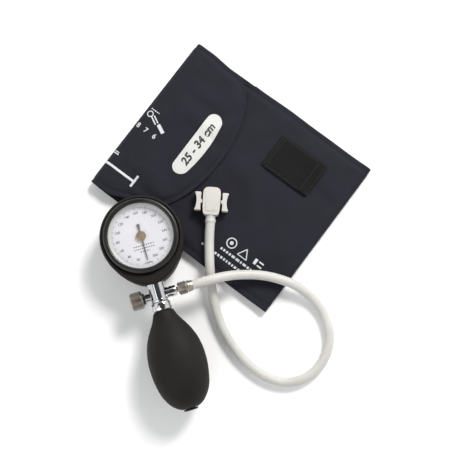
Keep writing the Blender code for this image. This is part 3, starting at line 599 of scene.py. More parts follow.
def relaxed(length, width, seed, peak):
    """Heights, in millimetres, of a cloth held at its edges and given a little slack."""
    nu, nv = round(length / CLOTH_CELL) + 1, round(width / CLOTH_CELL) + 1
    us = np.linspace(0, length, nu)
    vs = np.linspace(0, width, nv)
    uu, vv = np.meshgrid(us, vs, indexing="ij")
    start = np.array([
        [noise.noise((u / 26 + seed, v / 22, seed * 1.7)) for v in vs] for u in us
    ])
    verts = np.stack([uu * MM, vv * MM, start * 0.9 * MM], axis=-1).reshape(-1, 3)
    faces = [
        (i * nv + j, (i + 1) * nv + j, (i + 1) * nv + j + 1, i * nv + j + 1)
        for i in range(nu - 1) for j in range(nv - 1)
    ]
    mesh = bpy.data.meshes.new("slack_cloth")
    mesh.from_pydata(verts.tolist(), [], faces)
    cloth = bpy.data.objects.new("slack_cloth", mesh)
    bpy.context.collection.objects.link(cloth)
    held = cloth.vertex_groups.new(name="held")
    edge = [
        i * nv + j for i in range(nu) for j in range(nv) if i in (0, nu - 1) or j in (0, nv - 1)
    ]
    held.add(edge, 1.0, "REPLACE")
    modifier = cloth.modifiers.new("cloth", "CLOTH")
    settings = modifier.settings
    settings.quality = 6
    settings.mass = 0.15
    settings.tension_stiffness = 20
    settings.compression_stiffness = 20
    settings.bending_stiffness = 0.35
    settings.vertex_group_mass = "held"
    settings.shrink_min = -0.028
    settings.use_pressure = True
    settings.uniform_pressure_force = 0.25
    settings.effector_weights.gravity = 0.0
    modifier.point_cache.frame_start = 1
    modifier.point_cache.frame_end = SETTLE_FRAMES
    for step in range(1, SETTLE_FRAMES + 1):
        bpy.context.scene.frame_set(step)
    depsgraph = bpy.context.evaluated_depsgraph_get()
    settled = cloth.evaluated_get(depsgraph).to_mesh()
    height = np.array([v.co.z for v in settled.vertices]).reshape(nu, nv) / MM
    cloth.evaluated_get(depsgraph).to_mesh_clear()
    bpy.data.objects.remove(cloth, do_unlink=True)
    bpy.context.scene.frame_set(1)
    biggest = max(np.percentile(np.abs(height), 99), 1e-6)
    return us, vs, np.clip(height * peak / biggest, -0.6 * peak, 1.3 * peak)


def sampler(us, vs, field):
    """A function that reads the field between its grid points."""
    def read(u, v):
        fu = np.clip(np.interp(u, us, np.arange(len(us))), 0, len(us) - 1.001)
        fv = np.clip(np.interp(v, vs, np.arange(len(vs))), 0, len(vs) - 1.001)
        iu, iv = fu.astype(int), fv.astype(int)
        a, b = fu - iu, fv - iv
        a = a * a * (3 - 2 * a)
        b = b * b * (3 - 2 * b)
        return (
            field[iu, iv] * (1 - a) * (1 - b) + field[iu + 1, iv] * a * (1 - b)
            + field[iu, iv + 1] * (1 - a) * b + field[iu + 1, iv + 1] * a * b
        )
    return read


def smoothstep(x):
    """0 below 0, 1 above 1, and a smooth rise between."""
    x = np.clip(x, 0.0, 1.0)
    return x * x * (3 - 2 * x)


def shell(name, centre, normal, half, uv, material, body, nodes):
    """A closed cloth of the cuff: a grid of centres with normals and half thicknesses."""
    rows, cols = half.shape
    faces_at = [centre + normal * half[..., None], centre - normal * half[..., None]]
    bm = bmesh.new()
    layer = bm.loops.layers.uv.new("cloth")
    where = {}
    grids = []
    for points in faces_at:
        grid = [[bm.verts.new(points[i, j]) for j in range(cols)] for i in range(rows)]
        for i in range(rows):
            for j in range(cols):
                where[grid[i][j]] = uv[i, j]
        grids.append(grid)
        for i in range(rows - 1):
            for j in range(cols - 1):
                bm.faces.new((grid[i][j], grid[i + 1][j], grid[i + 1][j + 1], grid[i][j + 1]))
    rim = [(i, 0) for i in range(rows)] + [(rows - 1, j) for j in range(1, cols)]
    rim += [(i, cols - 1) for i in range(rows - 2, -1, -1)] + [(0, j) for j in range(cols - 2, 0, -1)]
    for (i, j), (k, m) in zip(rim, rim[1:] + rim[:1]):
        bm.faces.new((grids[0][i][j], grids[0][k][m], grids[1][k][m], grids[1][i][j]))
    for face in bm.faces:
        for loop in face.loops:
            loop[layer].uv = where[loop.vert]
    return finished(name, bm, CUFF, material, body, nodes, crease=70)


def edge_spaced(width, count):
    """Positions across a width, crowded towards both edges where the welded seam runs."""
    rim = [0.0, 0.5, 1.2, 2.0, 2.8, 3.5, 4.2, 4.9, 5.7, 6.8]
    inside = np.linspace(8.5, width - 8.5, count)
    return np.array(rim + list(inside) + [width - r for r in rim[::-1]])


SEAM_INSET = 4.3
HEM_HALF = 0.45
front_slack = sampler(*relaxed(CUFF_LENGTH, CUFF_WIDTH, 3.1, 2.4))


def welded(distance, full, seam=SEAM_INSET):
    """Half thickness at a distance from the edge: thin hem, pressed seam, padded inside."""
    rise = HEM_HALF + (full - HEM_HALF) * smoothstep((distance - seam + 0.6) / 5.0)
    return rise - 0.3 * np.exp(-((distance - seam) / 0.6) ** 2)


HEM_LOW = 0.8
HEM_HIGH = 2.6
HEM_REACH = 30.0


def hemmed(v):
    """Place across the cuff with the two hems let out beyond the padding."""
    return (
        v + HEM_HIGH * smoothstep((v - CUFF_WIDTH + HEM_REACH) / HEM_REACH)
        - HEM_LOW * smoothstep((HEM_REACH - v) / HEM_REACH)
    )


BACK_Z = 1.66
BACK_HALF = 1.6
BEND_Z = 3.48
BEND_RADIUS = 1.81
FRONT_Z = 5.3
FRONT_HALF = 1.25
FRONT_START = 60.0
FRONT_ROWS = 92
RIGHT_CENTRE = CUFF_LENGTH - 3.475

to_cuff = CUFF.inverted()
lying_on = [to_cuff @ p for p in hose_path[::3]]
lying_on += [to_cuff @ CONNECTOR @ Vector((x, y, 0)) for x in (-11, 0, 11) for y in (-9, 0, 9)]
pressed_at = np.array([(p.x, p.y) for p in lying_on])


def front_lift(u, v):
    """Wrinkles of the front layer, held down at its hems and folds and under the hose."""
    near = np.minimum(np.minimum(v, CUFF_WIDTH - v), RIGHT_CENTRE + 3.0 - u)
    free = 0.25 + 0.75 * smoothstep(near / 12.0)
    away = np.full(np.shape(u), 1e9)
    for pu, pv in pressed_at:
        away = np.minimum(away, (u - pu) ** 2 + (v - pv) ** 2)
    free *= 0.1 + 0.9 * smoothstep((np.sqrt(away) - 6.0) / 18.0)
    return (0.2 + front_slack(u, v)) * free * smoothstep((RIGHT_CENTRE - u) / 8.0)


def front_top(u, v):
    """Height of the front layer's upper face."""
    return FRONT_Z + front_lift(u, v) + welded(np.minimum(v, CUFF_WIDTH - v), FRONT_HALF)


def cover_rows():
    """Centre line of the cover in (u, z), its outward normal and its run in millimetres."""
    rows = [(u, BACK_Z, 0.0, -1.0) for u in np.linspace(5.9, RIGHT_CENTRE, 46)]
    for angle in np.linspace(-90, 90, 13)[1:-1]:
        a = radians(angle)
        rows.append((
            RIGHT_CENTRE + BEND_RADIUS * cos(a), BEND_Z + BEND_RADIUS * sin(a), cos(a), sin(a),
        ))
    rows += [(u, FRONT_Z, 0.0, 1.0) for u in np.linspace(RIGHT_CENTRE, FRONT_START, FRONT_ROWS)]
    return np.array(rows)


def run_along(rows):
    """Distance along a centre line whose first two columns are u and z."""
    return np.concatenate([[0], np.cumsum(np.hypot(np.diff(rows[:, 0]), np.diff(rows[:, 1])))])


rows = cover_rows()
across = edge_spaced(CUFF_WIDTH, 76)
run = run_along(rows)
on_front = np.arange(len(rows)) >= len(rows) - FRONT_ROWS
uu, vv = np.meshgrid(rows[:, 0], across, indexing="ij")
edge_wave = np.array([
    [0.5 * noise.noise((s / 30, 0.3, 7.7)), 0.5 * noise.noise((s / 30, 5.1, 2.2))] for s in run
])
side = vv / CUFF_WIDTH
v_shift = edge_wave[:, :1] * (1 - side) + edge_wave[:, 1:] * side
centre = np.stack([uu, hemmed(vv) + v_shift, np.repeat(rows[:, 1:2], len(across), 1)], axis=-1)
PORT_UV = (34.0, 60.0)
PORT_MOUND = 21.0
PORT_HOLE = 13.5
over_port = smoothstep((PORT_MOUND - np.hypot(uu - PORT_UV[0], vv - PORT_UV[1])) / 4.0)
over_port = np.where(on_front[:, None], 0.0, over_port)
centre[..., 2] += np.where(on_front[:, None], front_lift(uu, vv), 0.75 * over_port)
normal = np.stack([
    np.repeat(rows[:, 2:3], len(across), 1),
    np.zeros_like(uu),
    np.repeat(rows[:, 3:4], len(across), 1),
], axis=-1)
from_edge = np.minimum(vv, CUFF_WIDTH - vv)
half = np.where(on_front[:, None], welded(from_edge, FRONT_HALF), welded(from_edge, BACK_HALF))
to_fold = smoothstep((uu - RIGHT_CENTRE + 7.0) / 7.0)
half += to_fold * (1.25 + 0.3 * welded(from_edge, 1.0) - half) + 0.65 * over_port
uv = np.stack([np.repeat(run[:, None], len(across), 1), vv], axis=-1) * MM
cover = shell(
    "cuff_cover", centre, normal, half, uv, NAVY, "cuff",
    ["cuff_back_outer", "cuff_back_inner", "cuff_fold_right", "cuff_front"],
)
PORT_PLACE = CUFF @ Matrix.Translation((*PORT_UV, 0.0))
cut(cover, cutter_rod(PORT_HOLE, -1.0, 3.62, PORT_PLACE, "z"))


# ---------------------------------------------------------------- cuff flap
# The rounded closing end of the same cover, turned over at the left fold. Its face is printed
# and it carries the size label; the hook tape is on its underside.

FLAP_Z = 9.35
FLAP_HALF = 1.25
FOLD_HALF = 3.9
FOLD_LOOSE = 1.7
SHOULDER = 40.0
REACH = 75.5
FLAP_SPAN = 67.5
FLAP_SEAM = 3.3
FLAP_INSET = 0.2
FOLD_ROWS = 15
flap_slack = sampler(*relaxed(REACH + 6, CUFF_WIDTH, 9.4, 1.5))


def flap_limits(u):
    """Lowest and highest v of the flap at a place along it."""
    square = smoothstep((u - 14.0) / 24.0)
    low = FLAP_INSET + (FLAP_MIDDLE - FLAP_SPAN - FLAP_INSET) * square
    high = CUFF_WIDTH - FLAP_INSET + (FLAP_MIDDLE + FLAP_SPAN - CUFF_WIDTH + FLAP_INSET) * square
    return low, high


def tip_reach(a):
    """How far along the flap its rounded tip has come at an angle from straight ahead."""
    return SHOULDER + (REACH - SHOULDER) * cos(a) ** 0.95


def flap_edge():
    """The free edge of the flap as a run of points."""
    lower = [(u, flap_limits(u)[0]) for u in np.linspace(5.0, SHOULDER, 16)]
    tip = [
        (tip_reach(a), FLAP_MIDDLE + FLAP_SPAN * sin(a))
        for a in np.linspace(-pi / 2 + 0.02, pi / 2 - 0.02, 70)
    ]
    upper = [(u, flap_limits(u)[1]) for u in np.linspace(SHOULDER, 5.0, 16)]
    return np.array(lower + tip + upper)


FLAP_EDGE = flap_edge()


def flap_distance(u, v):
    """Distance to the flap's free edge."""
    points = np.stack([u, v], axis=-1)
    best = np.full(u.shape, 1e9)
    for a, b in zip(FLAP_EDGE, FLAP_EDGE[1:]):
        along = b - a
        t = np.clip(((points - a) @ along) / max(along @ along, 1e-9), 0, 1)
        best = np.minimum(best, np.linalg.norm(points - a - t[..., None] * along, axis=-1))
    return best


def flap_lift(u, v):
    """Wrinkles of the flap, with the tip settling a little onto the layer below."""
    near = flap_distance(u, v)
    held = 0.3 + 0.7 * smoothstep(near / 10.0)
    lift = (0.1 + flap_slack(u, v)) * held * smoothstep((u - 5.0) / 10.0)
    return np.maximum(lift - 0.2 * smoothstep((u - 40) / 30), -0.35)


def fold_half(v):
    """Half thickness round the fold, where the hems stay nearly as thick as the middle."""
    return 0.95 + 0.33 * welded(np.minimum(v, CUFF_WIDTH - v), 1.4, FLAP_SEAM)


def flap_top(u, v):
    """Height of the flap's printed face, and of the fold's round face before it."""
    flat = FLAP_Z + flap_lift(u, v) + welded(flap_distance(u, v), FLAP_HALF, FLAP_SEAM)
    radius = FLAP_Z - FOLD_RADIUS + fold_half(v)
    across_fold = (FOLD_RADIUS - u) * radius / (radius + FOLD_LOOSE)
    fold = FOLD_RADIUS + np.sqrt(np.maximum(radius ** 2 - across_fold ** 2, 0.0))
    return np.where(u < FOLD_RADIUS, fold, flat)


columns = edge_spaced(2 * FLAP_SPAN, 62) / FLAP_SPAN - 1.0
fold_limits = (FLAP_INSET, CUFF_WIDTH - FLAP_INSET)
flap_rows = [(FOLD_RADIUS + 1.2, FOLD_RADIUS - FOLD_HALF, 0.0, -1.0, *fold_limits)]
for angle in np.linspace(-90, -270, FOLD_ROWS)[:-1]:
    a = radians(angle)
    flap_rows.append((
        FOLD_RADIUS + (FOLD_HALF + FOLD_LOOSE) * cos(a), FOLD_RADIUS + FOLD_HALF * sin(a),
        cos(a), sin(a), *fold_limits,
    ))
for u in np.linspace(FOLD_RADIUS, SHOULDER, 24)[:-1]:
    flap_rows.append((u, FLAP_Z, 0.0, 1.0, *flap_limits(u)))
for a in np.linspace(pi / 2, 0.03, 44):
    spread = FLAP_SPAN * sin(a)
    flap_rows.append(
        (tip_reach(a), FLAP_Z, 0.0, 1.0, FLAP_MIDDLE - spread, FLAP_MIDDLE + spread)
    )
flap_rows = np.array(flap_rows)
in_fold = np.arange(len(flap_rows)) < FOLD_ROWS
uu = np.repeat(flap_rows[:, :1], len(columns), 1)
vv = flap_rows[:, 4:5] + (flap_rows[:, 5:6] - flap_rows[:, 4:5]) * (columns + 1) / 2
centre = np.stack([uu, hemmed(vv), np.repeat(flap_rows[:, 1:2], len(columns), 1)], axis=-1)
centre[..., 2] += np.where(in_fold[:, None], 0.0, flap_lift(uu, vv))
normal = np.stack([
    np.repeat(flap_rows[:, 2:3], len(columns), 1),
    np.zeros_like(uu),
    np.repeat(flap_rows[:, 3:4], len(columns), 1),
], axis=-1)
half = np.where(
    in_fold[:, None], fold_half(vv), welded(flap_distance(uu, vv), FLAP_HALF, FLAP_SEAM)
)
run = run_along(flap_rows)
uv = np.stack([np.repeat(run[:, None], len(columns), 1), vv], axis=-1) * MM
flap = shell(
    "cuff_flap_cover", centre, normal, half, uv, NAVY, None, ["cuff_flap", "cuff_fold_left"],
)


def turned_over(obj):
    """Bake the piece's place into its mesh."""
    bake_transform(obj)


turned_over(flap)


# ---------------------------------------------------------------- prints on the cuff
# Screen-printed white marks that lie on the cloth: an index line with a cross bar, a short
# scale, a ring, a triangle and rows of dashes in the place of small print.

PRINT_WHITE = grained(
    "screen_print", (0.66, 0.67, 0.68), (0.52, 0.53, 0.55), (0.50, 0.70), 900.0, 0.00002,
)


def flat_shapes(loops):
    """A bmesh of flat faces, each from a list of (u, v)."""
    bm = bmesh.new()
    for loop in loops:
        bm.faces.new([bm.verts.new((u, v, 0.0)) for u, v in loop])
    return bm


def flat_text(text, size, at, along, bold=0.0, slant=0.0):
    """A bmesh of flat letters centred at (u, v), their baseline along an angle in degrees."""
    curve = bpy.data.curves.new("letters", "FONT")
    curve.body = text
    curve.size = size
    curve.align_x = "CENTER"
    curve.align_y = "CENTER"
    curve.resolution_u = 5
    curve.offset = bold
    curve.shear = slant
    holder = bpy.data.objects.new("letters", curve)
    bpy.context.collection.objects.link(holder)
    depsgraph = bpy.context.evaluated_depsgraph_get()
    mesh = bpy.data.meshes.new_from_object(holder.evaluated_get(depsgraph))
    bpy.data.objects.remove(holder, do_unlink=True)
    bm = bmesh.new()
    bm.from_mesh(mesh)
    bpy.data.meshes.remove(mesh)
    bmesh.ops.remove_doubles(bm, verts=bm.verts, dist=size * 0.0005)
    bm.transform(Matrix.Translation((*at, 0)) @ Matrix.Rotation(radians(along), 4, "Z"))
    return bm


LONGEST_ON_FOLD = 1.0
LONGEST_ON_FLAT = 3.5


def long_edges(bm):
    """Edges too long to follow the cloth: the limit is shorter where it bends round the fold."""
    return [
        e for e in bm.edges
        if e.calc_length() > (
            LONGEST_ON_FOLD if min(vert.co.x for vert in e.verts) < FOLD_RADIUS else LONGEST_ON_FLAT
        )
    ]


def laid(name, bm, top, place, material, body, lift=0.09, thickness=0.12, nodes=()):
    """Flat faces laid on a surface's height function and raised to a closed thin layer."""
    bmesh.ops.triangulate(bm, faces=bm.faces)
    while edges := long_edges(bm):
        bmesh.ops.subdivide_edges(bm, edges=edges, cuts=1)
        bmesh.ops.triangulate(bm, faces=bm.faces)
    grown = bmesh.ops.extrude_face_region(bm, geom=list(bm.faces))
    raised = {v for v in grown["geom"] if isinstance(v, bmesh.types.BMVert)}
    layer = bm.loops.layers.uv.new("cloth")
    for face in bm.faces:
        for loop in face.loops:
            loop[layer].uv = (loop.vert.co.x * MM, loop.vert.co.y * MM)
    heights = top(*np.array([vert.co.xy for vert in bm.verts]).T)
    for vert, at in zip(bm.verts, heights):
        vert.co.z = at + (lift if vert in raised else lift - thickness)
    return finished(name, bm, place, material, body, nodes, crease=50)


def bar(u0, v0, u1, v1):
    """A rectangle's outline."""
    return [(u0, v0), (u1, v0), (u1, v1), (u0, v1)]


def ring_loops(u, v, outer, inner, steps=20):
    """A ring as quads."""
    around = [(cos(tau * i / steps), sin(tau * i / steps)) for i in range(steps + 1)]
    return [
        [(u + outer * a, v + outer * b), (u + outer * c, v + outer * d),
         (u + inner * c, v + inner * d), (u + inner * a, v + inner * b)]
        for (a, b), (c, d) in zip(around, around[1:])
    ]


def stroke(a, b, width):
    """A straight stroke between two points."""
    run_u, run_v = b[0] - a[0], b[1] - a[1]
    size = (run_u ** 2 + run_v ** 2) ** 0.5
    nu, nv = -run_v / size * width / 2, run_u / size * width / 2
    return [
        (a[0] + nu, a[1] + nv), (b[0] + nu, b[1] + nv),
        (b[0] - nu, b[1] - nv), (a[0] - nu, a[1] - nv),
    ]


def dashes(u0, u1, v, pitch, height, seed):
    """A row of uneven dashes in the place of a line of small print."""
    loops = []
    u = u0
    while u < u1:
        wide = pitch * (0.5 + 0.9 * abs(noise.noise((u * 0.37, seed, 0.5))))
        loops.append(bar(u, v - height / 2, min(u + wide, u1), v + height / 2))
        u += wide + pitch * 0.4
    return loops


index_mark = [bar(-1.3, 19.0, 27.4, 21.0), bar(27.4, 15.0, 29.4, 26.0), bar(-0.8, 30.0, 4.2, 31.0)]
index_mark += [bar(-0.3, 31.8, 3.7, 32.6)]
turned_over(
    laid("index_line", flat_shapes(index_mark), flap_top, CUFF, PRINT_WHITE, None)
)
DIGIT_V = 60.6
for digit, digit_u in (("8", 2.0), ("7", 9.6), ("6", 18.4)):
    turned_over(laid(
        f"scale_digit_{digit}", flat_text(digit, 6.2, (digit_u, DIGIT_V), 0, 0.07), flap_top, CUFF,
        PRINT_WHITE, None,
    ))
guide = ring_loops(4.2, 74.2, 2.8, 2.0) + [stroke((6.8, 72.7), (13.2, 69.3), 1.1)]
guide += [stroke((7.8, 74.9), (14.2, 71.5), 1.1), stroke((15.2, 70.7), (22.7, 67.1), 3.0)]
guide += dashes(2.2, 10.2, 78.7, 1.8, 1.0, 4.0)
turned_over(
    laid("arm_guide", flat_shapes(guide), flap_top, CUFF, PRINT_WHITE, None)
)

corners = [(133.0, 23.6), (142.0, 23.6), (137.5, 31.5)]
marks = ring_loops(124.0, 28.0, 4.6, 3.7) + ring_loops(124.0, 28.0, 1.6, 0.2, 12)
marks += [stroke(a, b, 0.8) for a, b in zip(corners, corners[1:] + corners[:1])]
marks += [bar(147.5, 25.0, 150.0, 30.0), bar(151.5, 25.0, 156.0, 26.2), bar(151.5, 28.6, 156.0, 29.8)]
marks += dashes(119.0, 150.0, 19.6, 2.8, 2.0, 1.0)
marks += dashes(104.0, 150.0, 13.4, 2.8, 2.0, 2.0)
laid("care_marks", flat_shapes(marks), front_top, CUFF, PRINT_WHITE, "cuff")


# ---------------------------------------------------------------- size label
# A woven off-white label welded near the flap's tip, straight on one side and bowed on the
# other. It carries the arm sizes in centimetres that the cuff fits.

LABEL_WHITE = woven(
    "label_cloth", (0.64, 0.64, 0.62), (0.55, 0.55, 0.53), (0.55, 0.75), 0.00050, 0.00004,
    drift=0.08,
)
LABEL_INK = grained(
    "label_ink", (0.030, 0.030, 0.033), (0.016, 0.016, 0.018), (0.45, 0.6), 900.0, 0.00002,
)
LABEL_MIDDLE = 77.0
LABEL_HALF = 30.0
LABEL_END = 6.4
LABEL_BOW = 3.4
LABEL_U = 51.0
LABEL_LIFT = 0.42


def label_outline(inset=0.0):
    """Straight towards the fold, bowed towards the tip, with round ends."""
    end = LABEL_END - inset
    low, high = LABEL_MIDDLE - LABEL_HALF + LABEL_END, LABEL_MIDDLE + LABEL_HALF - LABEL_END
    stadium = arc(LABEL_U, low, end, -90, 0, 8)
    stadium += [(LABEL_U + end, v) for v in np.linspace(low, high, 26)[1:-1]]
    stadium += arc(LABEL_U, high, end, 0, 90, 8) + arc(LABEL_U, high, end, 90, 180, 8)[1:]
    stadium += arc(LABEL_U, low, end, 180, 270, 8)[:-1]
    return [
        (u + (LABEL_BOW * cos(pi / 2 * (v - LABEL_MIDDLE) / LABEL_HALF) if u > LABEL_U else 0.0), v)
        for u, v in stadium
    ]


laid(
    "size_label_cloth", flat_shapes([label_outline()]), flap_top, CUFF, LABEL_WHITE, "flap",
    lift=LABEL_LIFT, thickness=0.55, nodes=["size_label"],
)


def label_top(u, v):
    """Height of the label's face."""
    return flap_top(u, v) + LABEL_LIFT


laid(
    "size_label_numbers",
    flat_text("25 - 34 cm", 9.4, (LABEL_U + 1.2, LABEL_MIDDLE), 90, 0.34, 0.2), label_top, CUFF,
    LABEL_INK, "flap", lift=0.05, thickness=0.09,
)
outer, inner = label_outline(0.7), label_outline(1.15)
label_rim = [
    [a, b, d, c] for a, b, c, d in zip(outer, outer[1:] + outer[:1], inner, inner[1:] + inner[:1])
]
laid(
    "size_label_weld", flat_shapes(label_rim), label_top, CUFF, LABEL_WHITE, "flap",
    lift=0.07, thickness=0.12,
)


# ---------------------------------------------------------------- gauge strap
# A loop of black webbing sewn flat to the front layer, with a narrower tab over its end. Both
# ends are sewn down with rows of black thread.

def group_tree(name, inputs):
    """An empty geometry tree with its named inputs, and its input and output nodes."""
    tree = bpy.data.node_groups.new(name, "GeometryNodeTree")
    tree.interface.new_socket("Geometry", in_out="INPUT", socket_type="NodeSocketGeometry")
    for label, kind, value in inputs:
        socket = tree.interface.new_socket(label, in_out="INPUT", socket_type=kind)
        if value is not None:
            socket.default_value = value
    tree.interface.new_socket("Geometry", in_out="OUTPUT", socket_type="NodeSocketGeometry")
    return tree, tree.nodes.new("NodeGroupInput"), tree.nodes.new("NodeGroupOutput")


def build_stitch_row():
    """Stitches a step apart: each a small bead, drawn long along the seam."""
    tree, given, put = group_tree("stitch_row", [
        ("Count", "NodeSocketInt", 10),
        ("Start", "NodeSocketVector", (0, 0, 0)),
        ("Step", "NodeSocketVector", (1, 0, 0)),
        ("Stitch Size", "NodeSocketVector", (1, 0.3, 0.3)),
        ("Turn", "NodeSocketVector", (0, 0, 0)),
        ("Material", "NodeSocketMaterial", None),
    ])
    line = tree.nodes.new("GeometryNodeMeshLine")
    line.mode = "OFFSET"
    bead = tree.nodes.new("GeometryNodeMeshUVSphere")
    bead.inputs["Segments"].default_value = 8
    bead.inputs["Rings"].default_value = 6
    bead.inputs["Radius"].default_value = 0.5
    spread = tree.nodes.new("GeometryNodeInstanceOnPoints")
    real = tree.nodes.new("GeometryNodeRealizeInstances")
    coat = tree.nodes.new("GeometryNodeSetMaterial")
    tree.links.new(given.outputs["Count"], line.inputs["Count"])
    tree.links.new(given.outputs["Start"], line.inputs["Start Location"])
    tree.links.new(given.outputs["Step"], line.inputs["Offset"])
    tree.links.new(line.outputs["Mesh"], spread.inputs["Points"])
    tree.links.new(bead.outputs["Mesh"], spread.inputs["Instance"])
    tree.links.new(given.outputs["Turn"], spread.inputs["Rotation"])
    tree.links.new(given.outputs["Stitch Size"], spread.inputs["Scale"])
    tree.links.new(spread.outputs["Instances"], real.inputs["Geometry"])
    tree.links.new(real.outputs["Geometry"], coat.inputs["Geometry"])
    tree.links.new(given.outputs["Material"], coat.inputs["Material"])
    tree.links.new(coat.outputs["Geometry"], put.inputs["Geometry"])
    return tree


def grown_bmesh(tree, values, base=None):
    """Run a geometry tree with the named values, on a mesh or on none, for its plain result."""
    carrier = bpy.data.objects.new("carrier", base or bpy.data.meshes.new("carrier"))
    bpy.context.collection.objects.link(carrier)
    modifier = carrier.modifiers.new("grow", "NODES")
    modifier.node_group = tree
    for item in tree.interface.items_tree:
        if item.in_out == "INPUT" and item.name in values:
            modifier[item.identifier] = values[item.name]
    depsgraph = bpy.context.evaluated_depsgraph_get()
    mesh = bpy.data.meshes.new_from_object(carrier.evaluated_get(depsgraph))
    bpy.data.objects.remove(carrier, do_unlink=True)
    bm = bmesh.new()
    bm.from_mesh(mesh)
    bpy.data.meshes.remove(mesh)
    return bm


STITCH_ROW = build_stitch_row()
WEBBING = woven(
    "black_webbing", (0.0065, 0.0062, 0.0062), (0.0030, 0.0030, 0.0030), (0.70, 0.88), 0.0011, 0.00018,
    **{"Specular IOR Level": 0.18, "Sheen Weight": 0.015, "Sheen Roughness": 0.6},
)
THREAD = grained(
    "black_thread", (0.035, 0.035, 0.034), (0.018, 0.018, 0.018), (0.5, 0.7), 2600.0, 0.00004,
)
STRAP_U = (103.5, 149.5)
STRAP_V = (95.5, 126.5)


def webbing_panel(name, u_span, v_span, rise, half, nodes=()):
    """Webbing lying flat on the front layer, its edges thinner; gives the height of its face."""
    us = np.linspace(*u_span, 32)
    vs = np.linspace(*v_span, 24)
    uu, vv = np.meshgrid(us, vs, indexing="ij")
    edge = np.minimum(
        np.minimum(uu - u_span[0], u_span[1] - uu), np.minimum(vv - v_span[0], v_span[1] - vv)
    )
    thick = half * (0.55 + 0.45 * smoothstep(edge / 1.4))
    arch = rise * smoothstep((uu - u_span[0]) / 7.0) * smoothstep((u_span[1] - uu) / 7.0)
    crest = front_top(us, np.full_like(us, sum(v_span) / 2)).max()
    height = 0.5 * crest + 0.5 * front_top(uu, vv)
    height = np.maximum(height, front_top(uu, vv) + half + 0.02) + arch
    up = np.zeros(uu.shape + (3,))
    up[..., 2] = 1.0
    shell(
        name, np.stack([uu, vv, height], axis=-1), up, thick, np.stack([uu, vv], axis=-1) * MM,
        WEBBING, "cuff", nodes,
    )
    return sampler(us, vs, height + thick)


strap_top = webbing_panel("strap_webbing", STRAP_U, STRAP_V, 0.5, 0.7, ["gauge_strap"])
END_TAB_START = 141.0
END_TAB_LIFT = 0.75
end_tab = [bar(END_TAB_START, 96.5, 149.9, 125.6)]
laid(
    "strap_end_tab", flat_shapes(end_tab), strap_top, CUFF, WEBBING, "cuff",
    lift=END_TAB_LIFT, thickness=0.8,
)
SEAM_ACROSS = {"Step": (0, 1.9, 0), "Stitch Size": (0.32, 1.5, 0.32)}
SEAM_ALONG = {"Step": (1.9, 0, 0), "Stitch Size": (1.5, 0.32, 0.32)}
rows_of_thread = bmesh.new()
for start, count, seam in (
    ((142.2, 97.6, 0), 15, SEAM_ACROSS),
    ((148.7, 97.6, 0), 15, SEAM_ACROSS),
    ((105.4, 97.0, 0), 16, SEAM_ACROSS),
    ((107.6, 97.0, 0), 16, SEAM_ACROSS),
    ((109.0, 96.9, 0), 17, SEAM_ALONG),
    ((109.0, 125.2, 0), 17, SEAM_ALONG),
):
    row = grown_bmesh(STITCH_ROW, {"Count": count, "Start": start, "Material": THREAD, **seam})
    row_mesh = bpy.data.meshes.new("row")
    row.to_mesh(row_mesh)
    row.free()
    rows_of_thread.from_mesh(row_mesh)
    bpy.data.meshes.remove(row_mesh)
under_thread = strap_top(*np.array([vert.co.xy for vert in rows_of_thread.verts]).T)
for vert, at in zip(rows_of_thread.verts, under_thread):
    vert.co.z += at + (END_TAB_LIFT if vert.co.x > END_TAB_START else 0.0)
finished("strap_stitches", rows_of_thread, CUFF, THREAD, "cuff", crease=80)


# ---------------------------------------------------------------- hook tape
# Stiff nylon hooks on a flat tape, welded to the underside of the flap.

def build_bristle():
    """Close-set hooks: small round cells on Object coordinates."""
    tree, given, put = shader_group(
        "bristle",
        [("Vector", "NodeSocketVector", None), ("Scale", "NodeSocketFloat", 900.0)],
        [("Height", "NodeSocketFloat")],
    )
    cells = tree.nodes.new("ShaderNodeTexVoronoi")
    tree.links.new(given.outputs["Vector"], cells.inputs["Vector"])
    tree.links.new(given.outputs["Scale"], cells.inputs["Scale"])
    tree.links.new(
        math_node(tree, "SUBTRACT", 1.0, cells.outputs["Distance"]), put.inputs["Height"]
    )
    return tree


BRISTLE = build_bristle()
HOOKS, hooks_tree, hooks_shader = new_material(
    "hook_tape", {"Roughness": 0.65, "Specular IOR Level": 0.25},
)
hooks_where = hooks_tree.nodes.new("ShaderNodeTexCoord")
hooks_cells = hooks_tree.nodes.new("ShaderNodeGroup")
hooks_cells.node_tree = BRISTLE
# Painted shade: the tape's colour follows the hooks' height, darker in the hollows between the hooks and
# lighter on their tops.
hooks_hollow_shade = hooks_tree.nodes.new("ShaderNodeMix")
hooks_hollow_shade.data_type = "RGBA"
hooks_hollow_shade.inputs[6].default_value = (0.006, 0.006, 0.010, 1.0)
hooks_hollow_shade.inputs[7].default_value = (0.022, 0.022, 0.030, 1.0)
hooks_tree.links.new(hooks_where.outputs["Object"], hooks_cells.inputs["Vector"])
hooks_tree.links.new(hooks_cells.outputs["Height"], hooks_hollow_shade.inputs["Factor"])
hooks_tree.links.new(hooks_hollow_shade.outputs[2], hooks_shader.inputs["Base Color"])
add_bump(hooks_tree, hooks_shader, hooks_cells.outputs["Height"], 0.0004)


def paint(material, *nodes):
    """Give CAD pieces their material."""
    for node in nodes:
        mesh = frame["nodes"][node].data
        mesh.materials.clear()
        mesh.materials.append(material)


paint(HOOKS, "hook_panel")


# ---------------------------------------------------------------- bladder and air port
# A grey film bladder inside the cover, with a welded flange and a swivel spout underneath that
# takes the connector.

BLADDER_FILM = grained(
    "grey_bladder_film", (0.36, 0.37, 0.38), (0.27, 0.28, 0.29), (0.30, 0.50), 260.0, 0.00008,
)
paint(BLADDER_FILM, "bladder", "port_flange", "port_spout")
PORT_RUBBER = grained(
    "port_seal_rubber", (0.030, 0.030, 0.030), (0.018, 0.018, 0.018), (0.45, 0.65), 900.0, 0.00003,
)
paint(PORT_RUBBER, "port_seal", "connector_seal")


